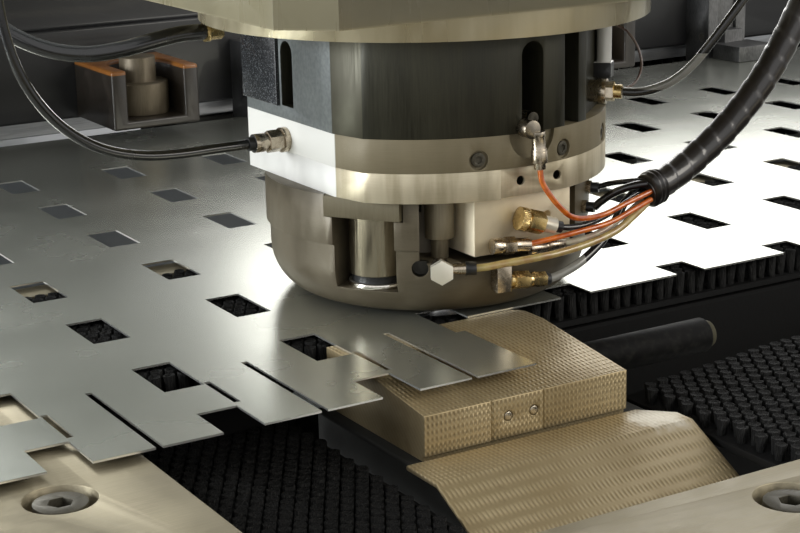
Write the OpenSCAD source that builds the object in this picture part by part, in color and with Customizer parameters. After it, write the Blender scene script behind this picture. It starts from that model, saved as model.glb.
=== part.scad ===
// Single-head CNC punch press: a C-frame with a rotating tool head, a brush table,
// a moving rail with sheet clamps, and a perforated sheet held in them.
// The origin is on the floor under the punch axis. +X runs along the rail,
// +Y runs from the operator into the throat, and +Z is up.

/* [Sheet] */
// Height of the sheet's top face above the floor
pass_z = 900; // [860:1:980]
// Sheet thickness
sheet_t = 1.5; // [0.8:0.1:6]
// Sheet length along the rail
sheet_l = 2000; // [1600:10:2400]
// Sheet's left end, from the punch axis
sheet_x = -750; // [-900:1:-650]
// Front edge of the part of the sheet that is not yet cut away
sheet_front = -236; // [-260:1:-200]
// Front edge where the first row of parts has been cut away
sheet_cut_front = -112; // [-130:1:-100]
// Place of the step between the two front edges
sheet_step = -56; // [-62:1:-50]
// Rear edge, in the clamps
sheet_rear = 764; // [730:1:800]
// Spacing of the hole columns
col_pitch = 120; // [100:1:140]
// Spacing of the hole rows
row_pitch = 131.6; // [110:0.1:150]
// First column of holes, from the punch axis
col_first = -649; // [-700:1:-600]
// Width of a punched hole
hole_w = 30; // [20:1:50]
// Length of a punched hole
hole_l = 60; // [40:1:90]
// Width of a parting slit
slit_w = 5; // [3:0.5:8]

/* [Frame] */
// Width of the frame's arms and column
arm_w = 420; // [380:10:600]
// Clear height from the sheet to the upper arm
arm_gap = 330; // [310:5:400]
// Height of the upper arm
arm_h = 600; // [500:10:800]
// Reach of the upper arm in front of the punch axis
arm_nose = 430; // [350:10:600]
// Throat depth behind the punch axis
throat = 1640; // [1620:10:1900]
// Depth of the column
column_d = 560; // [450:10:800]
// Top of the lower arm above the floor
lower_top = 600; // [560:5:620]
// Reach of the lower arm in front of the punch axis
lower_nose = 520; // [500:10:700]
// Width of the base plate
base_w = 760; // [700:10:1000]
// Thickness of the base plate
base_t = 40; // [25:1:60]
// Depth of the recessed web panels
web_d = 60; // [30:5:90]
// How far the side covers stand off the arm
cover_off = 34; // [25:1:60]
// Width of a side cover's panel, between its seams
panel_w = 400; // [300:10:440]
// Thickness of the nose cover
nose_t = 40; // [25:1:60]
// Height of the ram's cylinder
cyl_h = 150; // [120:5:200]
// Radius of the cylinder's flange
cyl_r = 150; // [140:1:180]
// Anchor hole radius
anchor_r = 11; // [8:0.5:16]
// Anchor spacing across the frame
anchor_sx = 640; // [600:10:680]
// Anchor spacing along the frame, at the punching station and at the column
anchor_sy = 760; // [600:10:900]

/* [Punching head] */
// Radius of the head's rings
head_r = 147; // [135:1:160]
// Distance of the left flat from the punch axis
flat_d = 122; // [116:1:128]
// Distance of the small flat beside it
flat2_d = 133.8; // [130:0.1:138]
// Angle between the two flats
flat2_a = 15; // [10:1:20]
// Underside of the bowl above the sheet
bowl_z0 = 2; // [1.5:0.5:4]
// Underside of the clamp ring above the sheet
ring1_z = 98.5; // [94:0.5:104]
// Underside of the mount ring above the sheet
ring2_z = 121.7; // [118:0.1:126]
// Underside of the head block above the sheet
block_z = 147.6; // [144:0.1:152]
// Underside of the flange above the sheet
flange_z = 225; // [215:1:235]
// Underside of the housing above the sheet
housing_z = 244; // [240:1:250]
// Radius of the flange
flange_r = 182; // [175:1:185]
// Half width of the housing
housing_x = 214; // [205:1:230]
// Half depth of the housing
housing_y = 185; // [183:1:200]
// Radius of the bowl above its step
bowl_r = 134; // [130:1:138]
// Depth of the bowl's step
bowl_step = 3; // [1:0.5:5]
// Radius of the bowl's underside
bowl_r0 = 98; // [90:1:104]
// Height of the bowl's rounded shoulder
bowl_round = 38; // [25:1:50]
// Radius of the guide column
column_r = 22.5; // [18:0.5:24]
// Distance of the guide column from the punch axis
column_d0 = 104; // [100:1:106]
// Angle of the guide column
column_a = 216; // [212:1:220]
// Radius of the stepped guide pin
pin_r = 11.5; // [8:0.5:13]

/* [Tooling] */
// Outer radius of the rotating sleeve
sleeve_r = 50; // [46:1:54]
// Outer radius of the ram
ram_r = 30; // [26:1:34]
// Running clearance between sleeve, ram and their bores
run_c = 0.05; // [0.02:0.01:0.08]
// Stroke of the ram
ram_stroke = 30; // [26:1:31]
// Height of the blade's tip above the sheet at rest
blade_tip = 22; // [20:1:24]
// Length of the blade
blade_l = 34; // [30:1:38]
// Depth of the stripper's collar in the sleeve
collar_h = 28; // [16:1:30]
// Radius of the punch holder
holder_r = 24; // [20:1:26]
// Length of the parting punch
punch_l = 56; // [40:1:60]
// Radius of the stripper plate
stripper_r = 47; // [40:1:52]
// Thickness of the stripper plate
stripper_t = 8; // [5:1:10]
// Gap between the sheet and the stripper plate
stripper_gap = 0.5; // [0.3:0.1:1]
// Radius of the die
die_r = 50; // [42:1:56]
// Height of the die
die_h = 32; // [25:1:40]
// Radius of the rotating die holder
seat_r = 78; // [70:1:84]
// Clearance between punch and die
die_c = 0.3; // [0.1:0.05:0.6]
// Radius of the slug hole
slug_r = 38; // [34:1:42]
// Radius of the pedestal's foot
foot_r = 150; // [145:1:165]
// Radius of the pedestal's neck
neck_r = 90; // [70:1:96]

/* [Table] */
// Rest gap between the sheet and what carries it
seat_gap = 0.3; // [0.2:0.1:0.6]
// Top of the table plate below the sheet's top face
plate_drop = 6; // [4:0.5:10]
// Thickness of the table plate
plate_t = 25; // [18:1:35]
// Half width of the table plate
plate_x = 640; // [620:5:700]
// Front edge of the table plate
plate_front = -700; // [-800:10:-600]
// Drop of the brushes left of the chute cover below the sheet's top face
low_drop = 52; // [48:1:70]
// Rear edge of the full-height table
plate_rear = 190; // [170:1:196]
// Left edge of the pit in the table plate
pit_x0 = -358; // [-370:1:-350]
// Right edge of the pit
pit_x1 = 575; // [560:1:590]
// Front edge of the pit
pit_y0 = -466; // [-480:1:-455]
// Rear edge of the pit
pit_y1 = 160; // [150:1:165]
// Outer end of the side tables
side_x = 1850; // [1600:10:2200]
// Front edge of the side tables
side_front = -850; // [-1000:10:-720]
// Width of a brush strip
strip_w = 44; // [30:1:60]
// Spacing of the brush strips
strip_pitch = 104; // [90:1:160]
// Drop of the rear tables, which the clamps pass over
rear_drop = 14; // [13:0.5:18]
// Rear edge of the rear tables
rear_end = 1120; // [1000:10:1180]
// Gap in the rear tables for the saddle, either side of the punch axis
saddle_gap = 352; // [345:1:380]
// Size of a table leg
leg_w = 80; // [60:5:100]

/* [Die covers] */
// Left face of the embossed die cover
cover_x0 = -160; // [-168:1:-150]
// Right face of the embossed die cover
cover_x1 = 15; // [10:1:20]
// Front face of the die cover
cover_y0 = -250; // [-253:1:-240]
// Rear face of the die cover
cover_y1 = -112; // [-120:1:-108]
// Drop of the cover's front edge below the sheet's top face
cover_drop = 15; // [10:1:20]
// Height of the cover's front face
cover_face = 30; // [25:1:35]
// Left edge of the chute cover
chute_x0 = -178; // [-184:1:-172]
// Right edge of the chute cover
chute_x1 = 42; // [36:1:44]
// Length of the chute cover's flat flange
chute_flange = 39; // [30:1:50]
// Slope of the chute cover in degrees
chute_a = 27; // [20:1:30]
// Thickness of the chute cover
chute_t = 4; // [3:0.5:6]
// Inner edge of the tilting flap
flap_x0 = 46; // [44:1:60]
// Tilt of the flap at rest in degrees
flap_a = 3.7; // [2:0.1:5]
// Radius of the flap's hinge rod
flap_pin_r = 8; // [6:0.5:10]
// Radius of the guard bar beside the die
bar_r = 14; // [10:1:16]
// Length of the guard bar
bar_l = 132; // [90:1:180]
// Clear height under the walls of the parts chute, above the lower arm
chute_lift = 40; // [35:1:120]

/* [Axes] */
// Length of the rail
rail_l = 2700; // [2560:10:3000]
// Rail's left end, from the punch axis
rail_x = -1100; // [-1150:10:-1050]
// Height of the rail
rail_h = 180; // [150:5:200]
// Depth of the rail
rail_d = 200; // [160:5:220]
// Front face of the rail
rail_front = 820; // [815:1:830]
// Width of a linear guide
guide_w = 45; // [35:1:55]
// Height of a linear guide
guide_h = 36; // [30:1:40]
// Distance of the linear guides from the punch axis
guide_x = 150; // [120:1:170]
// Half width of the saddle
saddle_x = 330; // [300:1:340]
// Width of a clamp
clamp_w = 70; // [60:1:90]
// Width of a clamp's jaw
jaw_w = 34; // [26:1:40]
// Length of a clamp's bite on the sheet
bite = 60; // [50:1:64]
// Radius of a clamp's pin
jaw_pin_r = 6; // [5:0.5:7]
// Height of a clamp above the sheet
clamp_h = 90; // [86:1:110]
// Width of a tool cassette
cassette_w = 110; // [100:1:130]
// Depth of a tool cassette
cassette_d = 120; // [110:1:125]
// Height of a cassette's seat above the sheet
cassette_z = 24; // [20:1:30]
// Height of a cassette's walls above its seat
cassette_h = 60; // [50:1:66]
// Radius of a spare tool
tool_r = 36; // [30:1:44]
// Distance of a spare tool from the rail
tool_y = 66; // [60:1:70]

/* [Hoses] */
// Radius of the thin air hose on the left
air_r = 4; // [3:0.5:5]
// Radius of the thick feed hose on the left
feed_r = 6.5; // [5:0.5:8]
// Radius of the sensor cable
cable_r = 3.5; // [2:0.5:4]
// Radius of the sleeve round the tubes on the right
bundle_r = 12; // [12:0.5:13]
// Length of a gland on the upper arm
gland_l = 16; // [12:1:20]

/* [Hidden] */
$fn = 64;

arm_z = pass_z + arm_gap;
arm_top = arm_z + arm_h;
frame_back = throat + column_d;
sheet_under = pass_z - sheet_t;
brush_top = sheet_under - seat_gap;
plate_top = pass_z - plate_drop;
plate_under = plate_top - plate_t;
tray_t = 3;
rear_top = pass_z - rear_drop;
clamp_x = [for (k = [0:2]) sheet_x + sheet_l * (1 + 3 * k) / 8];
cassette_x = [clamp_x[0] + 150, clamp_x[0] + 300, clamp_x[1] - 190, clamp_x[1] + 150, clamp_x[1] + 310,
    clamp_x[1] + 470];
cup_wall = 20;
cup_depth = 52;
cup_floor = brush_top - 2 - cup_depth;
console_top = pass_z - cover_drop - cover_face;
guide_top = lower_top + guide_h;
bearing_h = 60;
saddle_top = pass_z - 50;
x_bearing_h = 40;
rail_guide_z = saddle_top + x_bearing_h + seat_gap;
rail_z = rail_guide_z + 22;
rail_top = rail_z + rail_h;
pivot_y = rail_front - 35;
pivot_z = pass_z + 28;
flap_hinge_z = pass_z - 22;
brush_h = 24;
low_z = pass_z - low_drop - brush_h;
low_x = [pit_x0 - 5, chute_x0 - 7];
field_y = sheet_cut_front + 6;
bar_x = [cover_x1, cover_x1 + bar_l];
bar_y = -180;
bar_z = pass_z - 30;
flap_hinge_x = pit_x1 - 15;
flap_y0 = pit_y0 + 6;
flap_y1 = bar_y - bar_r - 11;
leg_z = plate_under - 80;
table_x = plate_x + seat_gap;

// A box given by its limits along each axis
module block(x, y, z) translate([x[0], y[0], z[0]]) cube([x[1] - x[0], y[1] - y[0], z[1] - z[0]]);

// A disc between two heights
module disc(r, z0, z1) translate([0, 0, z0]) cylinder(h = z1 - z0, r = r);

// A profile drawn in the YZ plane, given thickness between two X places
module side_profile(points, x0, x1) translate([x0, 0, 0]) rotate([90, 0, 90]) linear_extrude(x1 - x0)
    polygon(points);

// One ring of the head, with its two flats and its bore for the sleeve
module head_ring(z0, z1, bore) difference() {
    disc(head_r, z0, z1);
    block([-head_r - 20, -flat_d], [-head_r - 5, head_r + 5], [z0 - 1, z1 + 1]);
    rotate([0, 0, flat2_a]) block([-head_r - 20, -flat2_d], [-head_r, head_r], [z0 - 1, z1 + 1]);
    disc(bore, z0 - 1, z1 + 1);
}

// A recessed web panel, cut into both sides of the frame
module web_pair(points) {
    side_profile(points, -arm_w / 2 - 1, -arm_w / 2 + web_d);
    side_profile(points, arm_w / 2 - web_d, arm_w / 2 + 1);
}

// Welded C-frame on its base plate, with webs set in from both sides
module c_frame() color("gainsboro") difference() {
    union() {
        side_profile([
            [-lower_nose, base_t], [-lower_nose, lower_top - 150], [-lower_nose + 120, lower_top],
            [throat - 120, lower_top], [throat, lower_top + 120], [throat, arm_z - 200], [throat - 200, arm_z],
            [-arm_nose, arm_z], [-arm_nose, arm_top - 180], [-arm_nose + 220, arm_top],
            [frame_back - 160, arm_top], [frame_back, arm_top - 160], [frame_back, base_t]
        ], -arm_w / 2, arm_w / 2);
        block([-base_w / 2, base_w / 2], [-lower_nose - 40, frame_back + 40], [0, base_t]);
    }
    web_pair([[-lower_nose + 60, 110], [-lower_nose + 60, lower_top - 180], [-lower_nose + 150, lower_top - 70],
        [throat - 500, lower_top - 70], [throat - 500, 110]]);
    web_pair([[throat - 420, 110], [throat - 420, lower_top - 70], [throat + 80, lower_top + 160],
        [frame_back - 80, lower_top + 160], [frame_back - 80, 110]]);
    web_pair([[throat + 80, lower_top + 240], [throat + 80, arm_z - 60], [frame_back - 80, arm_z - 60],
        [frame_back - 80, lower_top + 240]]);
    disc(sleeve_r + 6, arm_z - 1, arm_z + 60);
    disc(ram_r + 5, arm_z, arm_top + 1);
    disc(slug_r, lower_top - 200, lower_top + 1);
    for (x = [-1, 1], y = [-anchor_sy / 2, anchor_sy / 2, throat + 20, throat + 20 + anchor_sy / 2])
        translate([x * anchor_sx / 2, y, 0]) disc(anchor_r, -1, base_t + 1);
}

cover_y = [-arm_nose + 90, throat - 260];
cover_z = [arm_z + 130, arm_top - 90];
// Folded sheet-metal cover on one side of the upper arm, with a row of louvre slots
module side_cover() difference() {
    block([0, cover_off], cover_y, cover_z);
    block([-1, cover_off - 3], cover_y + [3, -3], cover_z + [3, -3]);
    for (i = [0:7], j = [0, 1])
        block([cover_off - 5, cover_off + 1], [cover_y[1] - 420 + j * 190, cover_y[1] - 420 + j * 190 + 150],
            [cover_z[0] + 90 + i * 26, cover_z[0] + 100 + i * 26]);
    for (y = [cover_y[0] + panel_w * 1.25, cover_y[0] + panel_w * 2.25])
        block([cover_off - 5, cover_off + 1], [y, y + 3], cover_z + [3, -3]);
}
module side_cover_left() color("whitesmoke") translate([-arm_w / 2, 0, 0]) mirror([1, 0, 0]) side_cover();
module side_cover_right() color("whitesmoke") translate([arm_w / 2, 0, 0]) side_cover();

// Folded cover on the nose of the upper arm, with a sloping top like the frame's
module nose_cover() color("slategray") difference() {
    side_profile([
        [-arm_nose - nose_t, arm_z + 40], [-arm_nose - nose_t, arm_top - 190], [-arm_nose, arm_top - 150],
        [-arm_nose, arm_z]
    ], -arm_w / 2 - cover_off, arm_w / 2 + cover_off);
    block([-arm_w / 2 - cover_off + 3, arm_w / 2 + cover_off - 3], [-arm_nose - nose_t + 3, -arm_nose + 1],
        [arm_z + 60, arm_top - 200]);
}

// Hydraulic cylinder that drives the ram, bolted on top of the upper arm
module ram_cylinder() color("darkgray") difference() {
    union() {
        disc(cyl_r, arm_top, arm_top + 30);
        disc(cyl_r - 32, arm_top + 30, arm_top + cyl_h - 14);
        disc(cyl_r - 46, arm_top + cyl_h - 14, arm_top + cyl_h);
        translate([0, cyl_r - 32, arm_top + 30]) block([-55, 55], [-30, 90], [0, 70]);
        for (a = [15:30:345]) rotate([0, 0, a]) translate([cyl_r - 15, 0, arm_top + 30]) cylinder(h = 14,
            r = 9, $fn = 6);
    }
    disc(ram_r + 5, arm_top - 1, arm_top + 100);
}

stator_z = [housing_z + 12, arm_gap];
// Ring motor that turns the tool sleeve, inside the housing
module index_stator() color("peru") difference() {
    disc(96, pass_z + stator_z[0], pass_z + stator_z[1]);
    disc(72, pass_z + stator_z[0] - 1, pass_z + stator_z[1] + 1);
}

// Cast housing under the arm: a square body on a round flange
module head_housing() color("lightgray") difference() {
    union() {
        disc(flange_r, pass_z + flange_z, pass_z + housing_z + 1);
        difference() {
            block([-housing_x, housing_x], [-housing_y, housing_y], [pass_z + housing_z, arm_z]);
            for (a = [45:90:315]) rotate([0, 0, a])
                block([housing_x + 45, housing_x + 150], [-120, 120], [pass_z + housing_z - 1, arm_z + 1]);
        }
    }
    disc(sleeve_r + run_c, pass_z + flange_z - 1, pass_z + stator_z[0] + 1);
    disc(96, pass_z + stator_z[0], arm_z + 1);
    for (x = [-40, 150]) translate([x, -housing_y - 1, pass_z + housing_z + 32]) rotate([-90, 0, 0])
        cylinder(h = 20, r = 4.5);
    for (z = [40, 62], y = [-60, 90]) translate([-housing_x - 1, y, pass_z + housing_z + z])
        rotate([0, 90, 0]) cylinder(h = 16, r = 4.5);
}

slot_w = 20;
slot_z = [152, 216];
gap_a = -72;
pocket_y = [0, 20];
// Dark head block with the front slot, the side recess and the slot beside the left plate
module head_block() color("dimgray") difference() {
    head_ring(pass_z + block_z, pass_z + flange_z, sleeve_r + run_c);
    translate([4, 0, 0]) {
        block([-slot_w / 2, slot_w / 2], [-head_r - 5, -head_r + 34], [pass_z + block_z - 1,
            pass_z + slot_z[1] - slot_w / 2]);
        translate([0, -head_r + 34, pass_z + slot_z[1] - slot_w / 2]) rotate([90, 0, 0]) cylinder(h = 40,
            r = slot_w / 2);
    }
    rotate([0, 0, gap_a]) block([head_r - 20, head_r + 5], [-9, 9], [pass_z + block_z - 1,
        pass_z + flange_z + 1]);
    rotate([0, 0, -48]) block([head_r - 10, head_r + 9], [-40, 27], [pass_z + block_z - 1,
        pass_z + flange_z + 1]);
    block([-flat_d - 1, -flat_d + 26], pocket_y, [pass_z + 158, pass_z + 200]);
    translate([-flat_d - 1, (pocket_y[0] + pocket_y[1]) / 2, pass_z + 200]) rotate([0, 90, 0])
        cylinder(h = 27, r = 10);
}

// Hammered cover plate on the block's left flat
module block_plate() color("darkslategray")
    block([-flat_d - 3, -flat_d], [pocket_y[1] + 3, 84], [pass_z + 157, pass_z + flange_z - 1]);

screw_a = [-106.3, -76, -48, -20, 12, 45, 78, 110, 142];
screw_z = pass_z + ring2_z + 8.5;
ring_cb = 7.5;
// Tan mount ring with counterbored screws and the half-round recess under the slot
module mount_ring() color("tan") difference() {
    head_ring(pass_z + ring2_z, pass_z + block_z, sleeve_r + run_c);
    for (a = screw_a) rotate([0, 0, a]) translate([head_r - 3, 0, screw_z]) rotate([0, 90, 0])
        cylinder(h = 10, r = ring_cb);
    translate([4, -head_r + 6, pass_z + block_z]) rotate([90, 0, 0]) cylinder(h = 20, r = 21);
}

// Brushed clamp ring with a small flat over the manifold
manifold_x = [-38, 52];
manifold_y = -129;
module clamp_ring() color("silver") difference() {
    head_ring(pass_z + ring1_z, pass_z + ring2_z, sleeve_r + run_c);
    block([-24, 90], [-head_r - 5, -head_r + 5], [pass_z + ring1_z - 1, pass_z + ring2_z + 1]);
    for (x = [-4, 30]) translate([x, -head_r + 16, pass_z + (ring1_z + ring2_z) / 2]) rotate([90, 0, 0])
        cylinder(h = 30, r = 3.6);
}

function shoulder(a) = [bowl_r0 + (bowl_r - bowl_step - bowl_r0) * sin(a),
    pass_z + bowl_z0 + bowl_round * (1 - cos(a))];
pocket_w = 26;
head_w = 33;
pocket_z = 24;
tap_a = -124.5;
// Round hold-down housing: a turned bowl with a pocket for the guide column
module holddown_bowl() color("slategray") difference() {
    rotate_extrude() polygon(concat(
        [[sleeve_r + run_c, pass_z + bowl_z0 + stripper_t + 8], [stripper_r + 6,
            pass_z + bowl_z0 + stripper_t + 8],
            [stripper_r + 6, pass_z + bowl_z0]],
        [for (a = [0:9:90]) shoulder(a)],
        [[bowl_r - bowl_step, pass_z + 58], [bowl_r, pass_z + 59], [bowl_r, pass_z + ring1_z],
            [sleeve_r + run_c, pass_z + ring1_z]]));
    rotate([0, 0, column_a]) block([column_d0 - pocket_w, bowl_r + 10], [-pocket_w, pocket_w],
        [pass_z + pocket_z, pass_z + ring1_z + 1]);
    rotate([0, 0, column_a]) block([column_d0 - pocket_w, bowl_r + 10], [-head_w, head_w], [pass_z + 81,
        pass_z + ring1_z + 1]);
    rotate([0, 0, 243]) block([112 - pin_r - 3, bowl_r + 10], [-pin_r - 6, pin_r + 6], [pass_z + 48,
        pass_z + ring1_z + 1]);
    block([manifold_x[0] - 8, manifold_x[1] + 14], [-bowl_r - 5, manifold_y + 52], [pass_z + 46,
        pass_z + ring1_z + 1]);
    rotate([0, 0, tap_a]) translate([bowl_r - bowl_step - 8, 0, pass_z + 44]) rotate([0, 90, 0])
        cylinder(h = 12, r = 6.5);
}

// Polished guide column with its head block and its foot ring
module guide_column() color("lightsteelblue") rotate([0, 0, column_a]) {
    translate([column_d0, 0, 0]) {
        disc(column_r, pass_z + pocket_z + 10, pass_z + 82);
        disc(column_r - 2, pass_z + pocket_z + 4, pass_z + pocket_z + 10);
        disc(column_r + 1, pass_z + pocket_z, pass_z + pocket_z + 4);
    }
    block([column_d0 - pocket_w + 2, column_d0 + 30], [-head_w + 1, head_w - 1], [pass_z + 82,
        pass_z + ring1_z]);
}

// Stepped guide pin beside the column
module guide_pin() color("silver") rotate([0, 0, 243]) translate([112, 0, 0]) {
    disc(pin_r, pass_z + 64, pass_z + ring1_z);
    disc(pin_r * 0.6, pass_z + 48, pass_z + 64);
}

// Air and oil manifold under the clamp ring
module manifold() color("gainsboro") difference() {
    block(manifold_x, [manifold_y, manifold_y + 50], [pass_z + 52, pass_z + ring1_z]);
    for (x = [8, 30]) translate([x, manifold_y - 1, pass_z + 66 + x / 3]) rotate([-90, 0, 0])
        cylinder(h = 9, r = 3.2);
}

// A turned and milled part along +X, in steps of [length, radius, sides]
module stepped(steps, i = 0) if (i < len(steps)) {
    rotate([0, 90, 0]) cylinder(h = steps[i][0], r = steps[i][1], $fn = steps[i][2]);
    translate([steps[i][0], 0, 0]) stepped(steps, i + 1);
}

left_fitting = [[5, 10, 64], [12, 9, 6], [3, 7, 64], [9, 7.5, 64], [5, 5.5, 64]];
cable_gland = [[8, 9, 6], [6, 10, 64], [6, 8, 6], [6, 5.5, 64]];
knurled_elbow = [[6, 9.2, 64], [2, 7, 64], [13, 9, 6], [11, 6.5, 64], [6, 4.6, 64]];
nickel_elbow = [[7, 6.2, 64], [3, 5, 64], [9, 7, 6], [13, 5.4, 64]];
ferrule = [[14, 4.8, 64], [3, 3.8, 64], [13, 5, 64], [3, 3.8, 64]];
brass_pair = [[3, 5, 64], [13, 7.2, 6], [3, 5.4, 64], [12, 6.2, 6], [4, 4.8, 64]];
slot_stub = [[4, 5.5, 64], [9, 5.2, 64], [2, 5.8, 64], [9, 6.2, 64], [5, 4.6, 64]];
collet = [[4, 5.5, 6], [6, 4.2, 64]];
// A stem out of the manifold's front face
module stem(x, z, l, r) translate([x, manifold_y, pass_z + z]) rotate([90, 0, 0]) rotate(45)
    cylinder(h = l, r = r);
// Fittings screwed into the head: elbows on the manifold, a banjo in the slot and one on the bowl
module head_fittings() color("goldenrod") {
    translate([-flat_d, 15, pass_z + 131]) rotate([0, 0, 180]) stepped(left_fitting);
    stem(9.7, 75.8, 11, 5);
    translate([-4, manifold_y - 10, pass_z + 80]) rotate([0, 17, -9]) stepped(knurled_elbow);
    stem(-14, 60, 10, 4);
    translate([-28, manifold_y - 9, pass_z + 61]) rotate([0, 4, -6]) stepped(nickel_elbow);
    stem(12, 56, 9, 3.5);
    translate([6, manifold_y - 9.5, pass_z + 54]) stepped(ferrule);
    rotate([0, 0, -117.7]) translate([bowl_r - bowl_step, 0, pass_z + 44.8]) {
        stepped([[11, 8, 64], [6, 9.6, 6]]);
        translate([5.5, 0, 0]) rotate([0, 0, 90]) translate([7, 0, 0]) stepped([[12, 4.2, 64], [8, 5.3, 64]]);
    }
    rotate([0, 0, -97.6]) block([bowl_r - bowl_step, bowl_r + 9], [-6, 6], [pass_z + 24, pass_z + 44]);
    translate([-12.5, manifold_y - 10, pass_z + 32]) rotate([0, 6, -6]) stepped(brass_pair);
    translate([4, -head_r, pass_z + block_z + 10]) rotate([-90, 0, 0]) cylinder(h = 34, r = 5);
    translate([-4, -head_r, pass_z + block_z + 4]) rotate([90, 0, 0]) cylinder(h = 11, r = 7);
    translate([2, manifold_y - 27, pass_z + block_z + 2]) rotate([0, 86, 0]) stepped(slot_stub);
    rotate([0, 0, -48]) translate([head_r - 10, -4, pass_z + 164]) stepped(cable_gland);
    for (f = [[-53, 71], [-47, 84]]) rotate([0, 0, f[0]]) translate([bowl_r, 0, pass_z + f[1]]) stepped(collet);
    translate([-160, 60, 0]) disc(6, pass_z + flange_z - 9, pass_z + flange_z);
    translate([-168, 60, pass_z + flange_z - 9]) stepped([[4, 8, 64], [11, 7, 6]]);
}

// Proximity sensor in its bracket on the block's right facet
module position_sensor() color("white") rotate([0, 0, -48]) {
    translate([head_r - 3, 20, 0]) disc(6, pass_z + 184, pass_z + flange_z);
    block([head_r - 10, head_r + 4], [12, 26], [pass_z + 172, pass_z + 184]);
}

// Socket screws in the mount ring's counterbores
module ring_screws() color("dimgray")
    for (a = screw_a) rotate([0, 0, a]) translate([head_r - 3, 0, screw_z]) rotate([0, 90, 0])
        difference() {
            cylinder(h = 2, r = ring_cb - 2);
            translate([0, 0, 0.8]) cylinder(h = 2, r = 3, $fn = 6);
        }

sleeve_z = [stripper_t + stripper_gap + 8, arm_gap + 40];
shank_z = blade_tip + blade_l;
ram_z0 = shank_z + 26;
// Rotating tool sleeve with the rotor of its ring motor
module spindle_sleeve() color("silver") difference() {
    union() {
        disc(sleeve_r, pass_z + bowl_z0 + sleeve_z[0], pass_z + sleeve_z[1]);
        disc(71.5, pass_z + stator_z[0] + 2, pass_z + stator_z[1] - 2);
    }
    disc(ram_r + run_c, pass_z + bowl_z0, pass_z + sleeve_z[1] + 1);
    disc(ram_r + 3, pass_z + bowl_z0 + sleeve_z[0] - 1, pass_z + ram_z0 - ram_stroke + 4);
}

// Ram: a long round bar with the punch holder at its foot
module ram() color("lightgray") {
    disc(ram_r, pass_z + ram_z0, arm_top + 40);
    disc(holder_r, pass_z + shank_z + 8, pass_z + ram_z0);
}

// Parting punch: a round shank and a long narrow blade
module punch() color("gray") {
    disc(holder_r, pass_z + shank_z, pass_z + shank_z + 8);
    block([-slit_w / 2, slit_w / 2], [-punch_l / 2, punch_l / 2], [pass_z + blade_tip, pass_z + shank_z]);
}

// Stripper plate with a slot for the blade and a collar that guides it in the sleeve
module stripper_plate() color("silver") difference() {
    union() {
        disc(stripper_r, pass_z + stripper_gap, pass_z + stripper_gap + stripper_t);
        disc(ram_r + 3 - seat_gap, pass_z + stripper_gap, pass_z + stripper_gap + stripper_t + collar_h);
    }
    disc(ram_r + run_c, pass_z + stripper_gap + stripper_t, pass_z + stripper_gap + stripper_t + collar_h + 1);
    block([-slit_w / 2 - 0.5, slit_w / 2 + 0.5], [-punch_l / 2 - 1, punch_l / 2 + 1], [pass_z, pass_z + 20]);
}

// Pedestal on the lower arm, with the cup that the die holder turns in
module die_pedestal() color("dimgray") difference() {
    union() {
        disc(foot_r, lower_top, lower_top + 30);
        disc(neck_r, lower_top + 30, cup_floor - 30);
        disc(seat_r + cup_wall, cup_floor - 30, brush_top - 8);
    }
    disc(slug_r, lower_top - 1, pass_z);
    disc(seat_r + run_c, cup_floor, pass_z);
    for (a = [0:60:300]) rotate([0, 0, a]) translate([foot_r - 25, 0, 0]) disc(9, lower_top - 1,
        lower_top + 31);
}

// Rotating die holder
module die_holder() color("darkgray") difference() {
    disc(seat_r, cup_floor + seat_gap, brush_top - 2);
    disc(die_r, brush_top - die_h, pass_z);
    disc(slug_r, cup_floor - 1, pass_z);
}

// Die with its blade slot, relieved below
module die() color("silver") difference() {
    disc(die_r, brush_top - die_h, brush_top);
    block([-slit_w / 2 - die_c, slit_w / 2 + die_c], [-punch_l / 2 - die_c, punch_l / 2 + die_c],
        [brush_top - die_h - 1, pass_z]);
    block([-slit_w / 2 - 3, slit_w / 2 + 3], [-punch_l / 2 - 3, punch_l / 2 + 3], [brush_top - die_h - 1,
        brush_top - 10]);
}

chute_y = cover_y0 - 4;
chute_knee = chute_y - chute_flange;
chute_end = pit_y0 + 8;
chute_fall = (chute_knee - chute_end) * tan(chute_a);
// Fabricated console that carries the die covers in front of the pedestal
module die_console() color("dimgray") difference() {
    side_profile([
        [-20, lower_top], [-20, console_top - 40], [cover_y1, console_top - 40], [cover_y1,
            console_top - chute_t],
        [chute_knee, console_top - chute_t], [chute_end, console_top - chute_t - chute_fall],
        [chute_end, console_top - chute_t - chute_fall - 60], [-lower_nose + 170, lower_top]
    ], chute_x0 + 8, chute_x1 - 8);
    disc(seat_r + cup_wall, lower_top - 1, pass_z);
    disc(foot_r, lower_top - 1, lower_top + 30);
}

// Embossed die cover: a wedge that leads the sheet up to the die
module die_cover() color("rosybrown") difference() {
    side_profile([
        [cover_y0, console_top], [cover_y0, pass_z - cover_drop], [cover_y1 - 33, brush_top],
        [cover_y1, brush_top], [cover_y1, console_top - chute_t], [cover_y0 + 3, console_top - chute_t],
            [cover_y0 + 3, console_top]
    ], cover_x0, cover_x1);
    translate([cover_x1 - 12, cover_y1 - 12, 0]) difference() {
        block([0, 20], [0, 20], [console_top - chute_t - 1, pass_z]);
        disc(12, console_top - chute_t - 2, pass_z + 1);
    }
    for (x = [cover_x0 + 55, cover_x0 + 100])
        block([x, x + 1], [cover_y0 - 1, cover_y0 + 1], [console_top - 1, pass_z]);
    for (x = [cover_x0 + 70, cover_x0 + 92]) translate([x, cover_y0 - 1, console_top + 16])
        rotate([-90, 0, 0]) cylinder(h = 3, r = 4);
}

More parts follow.
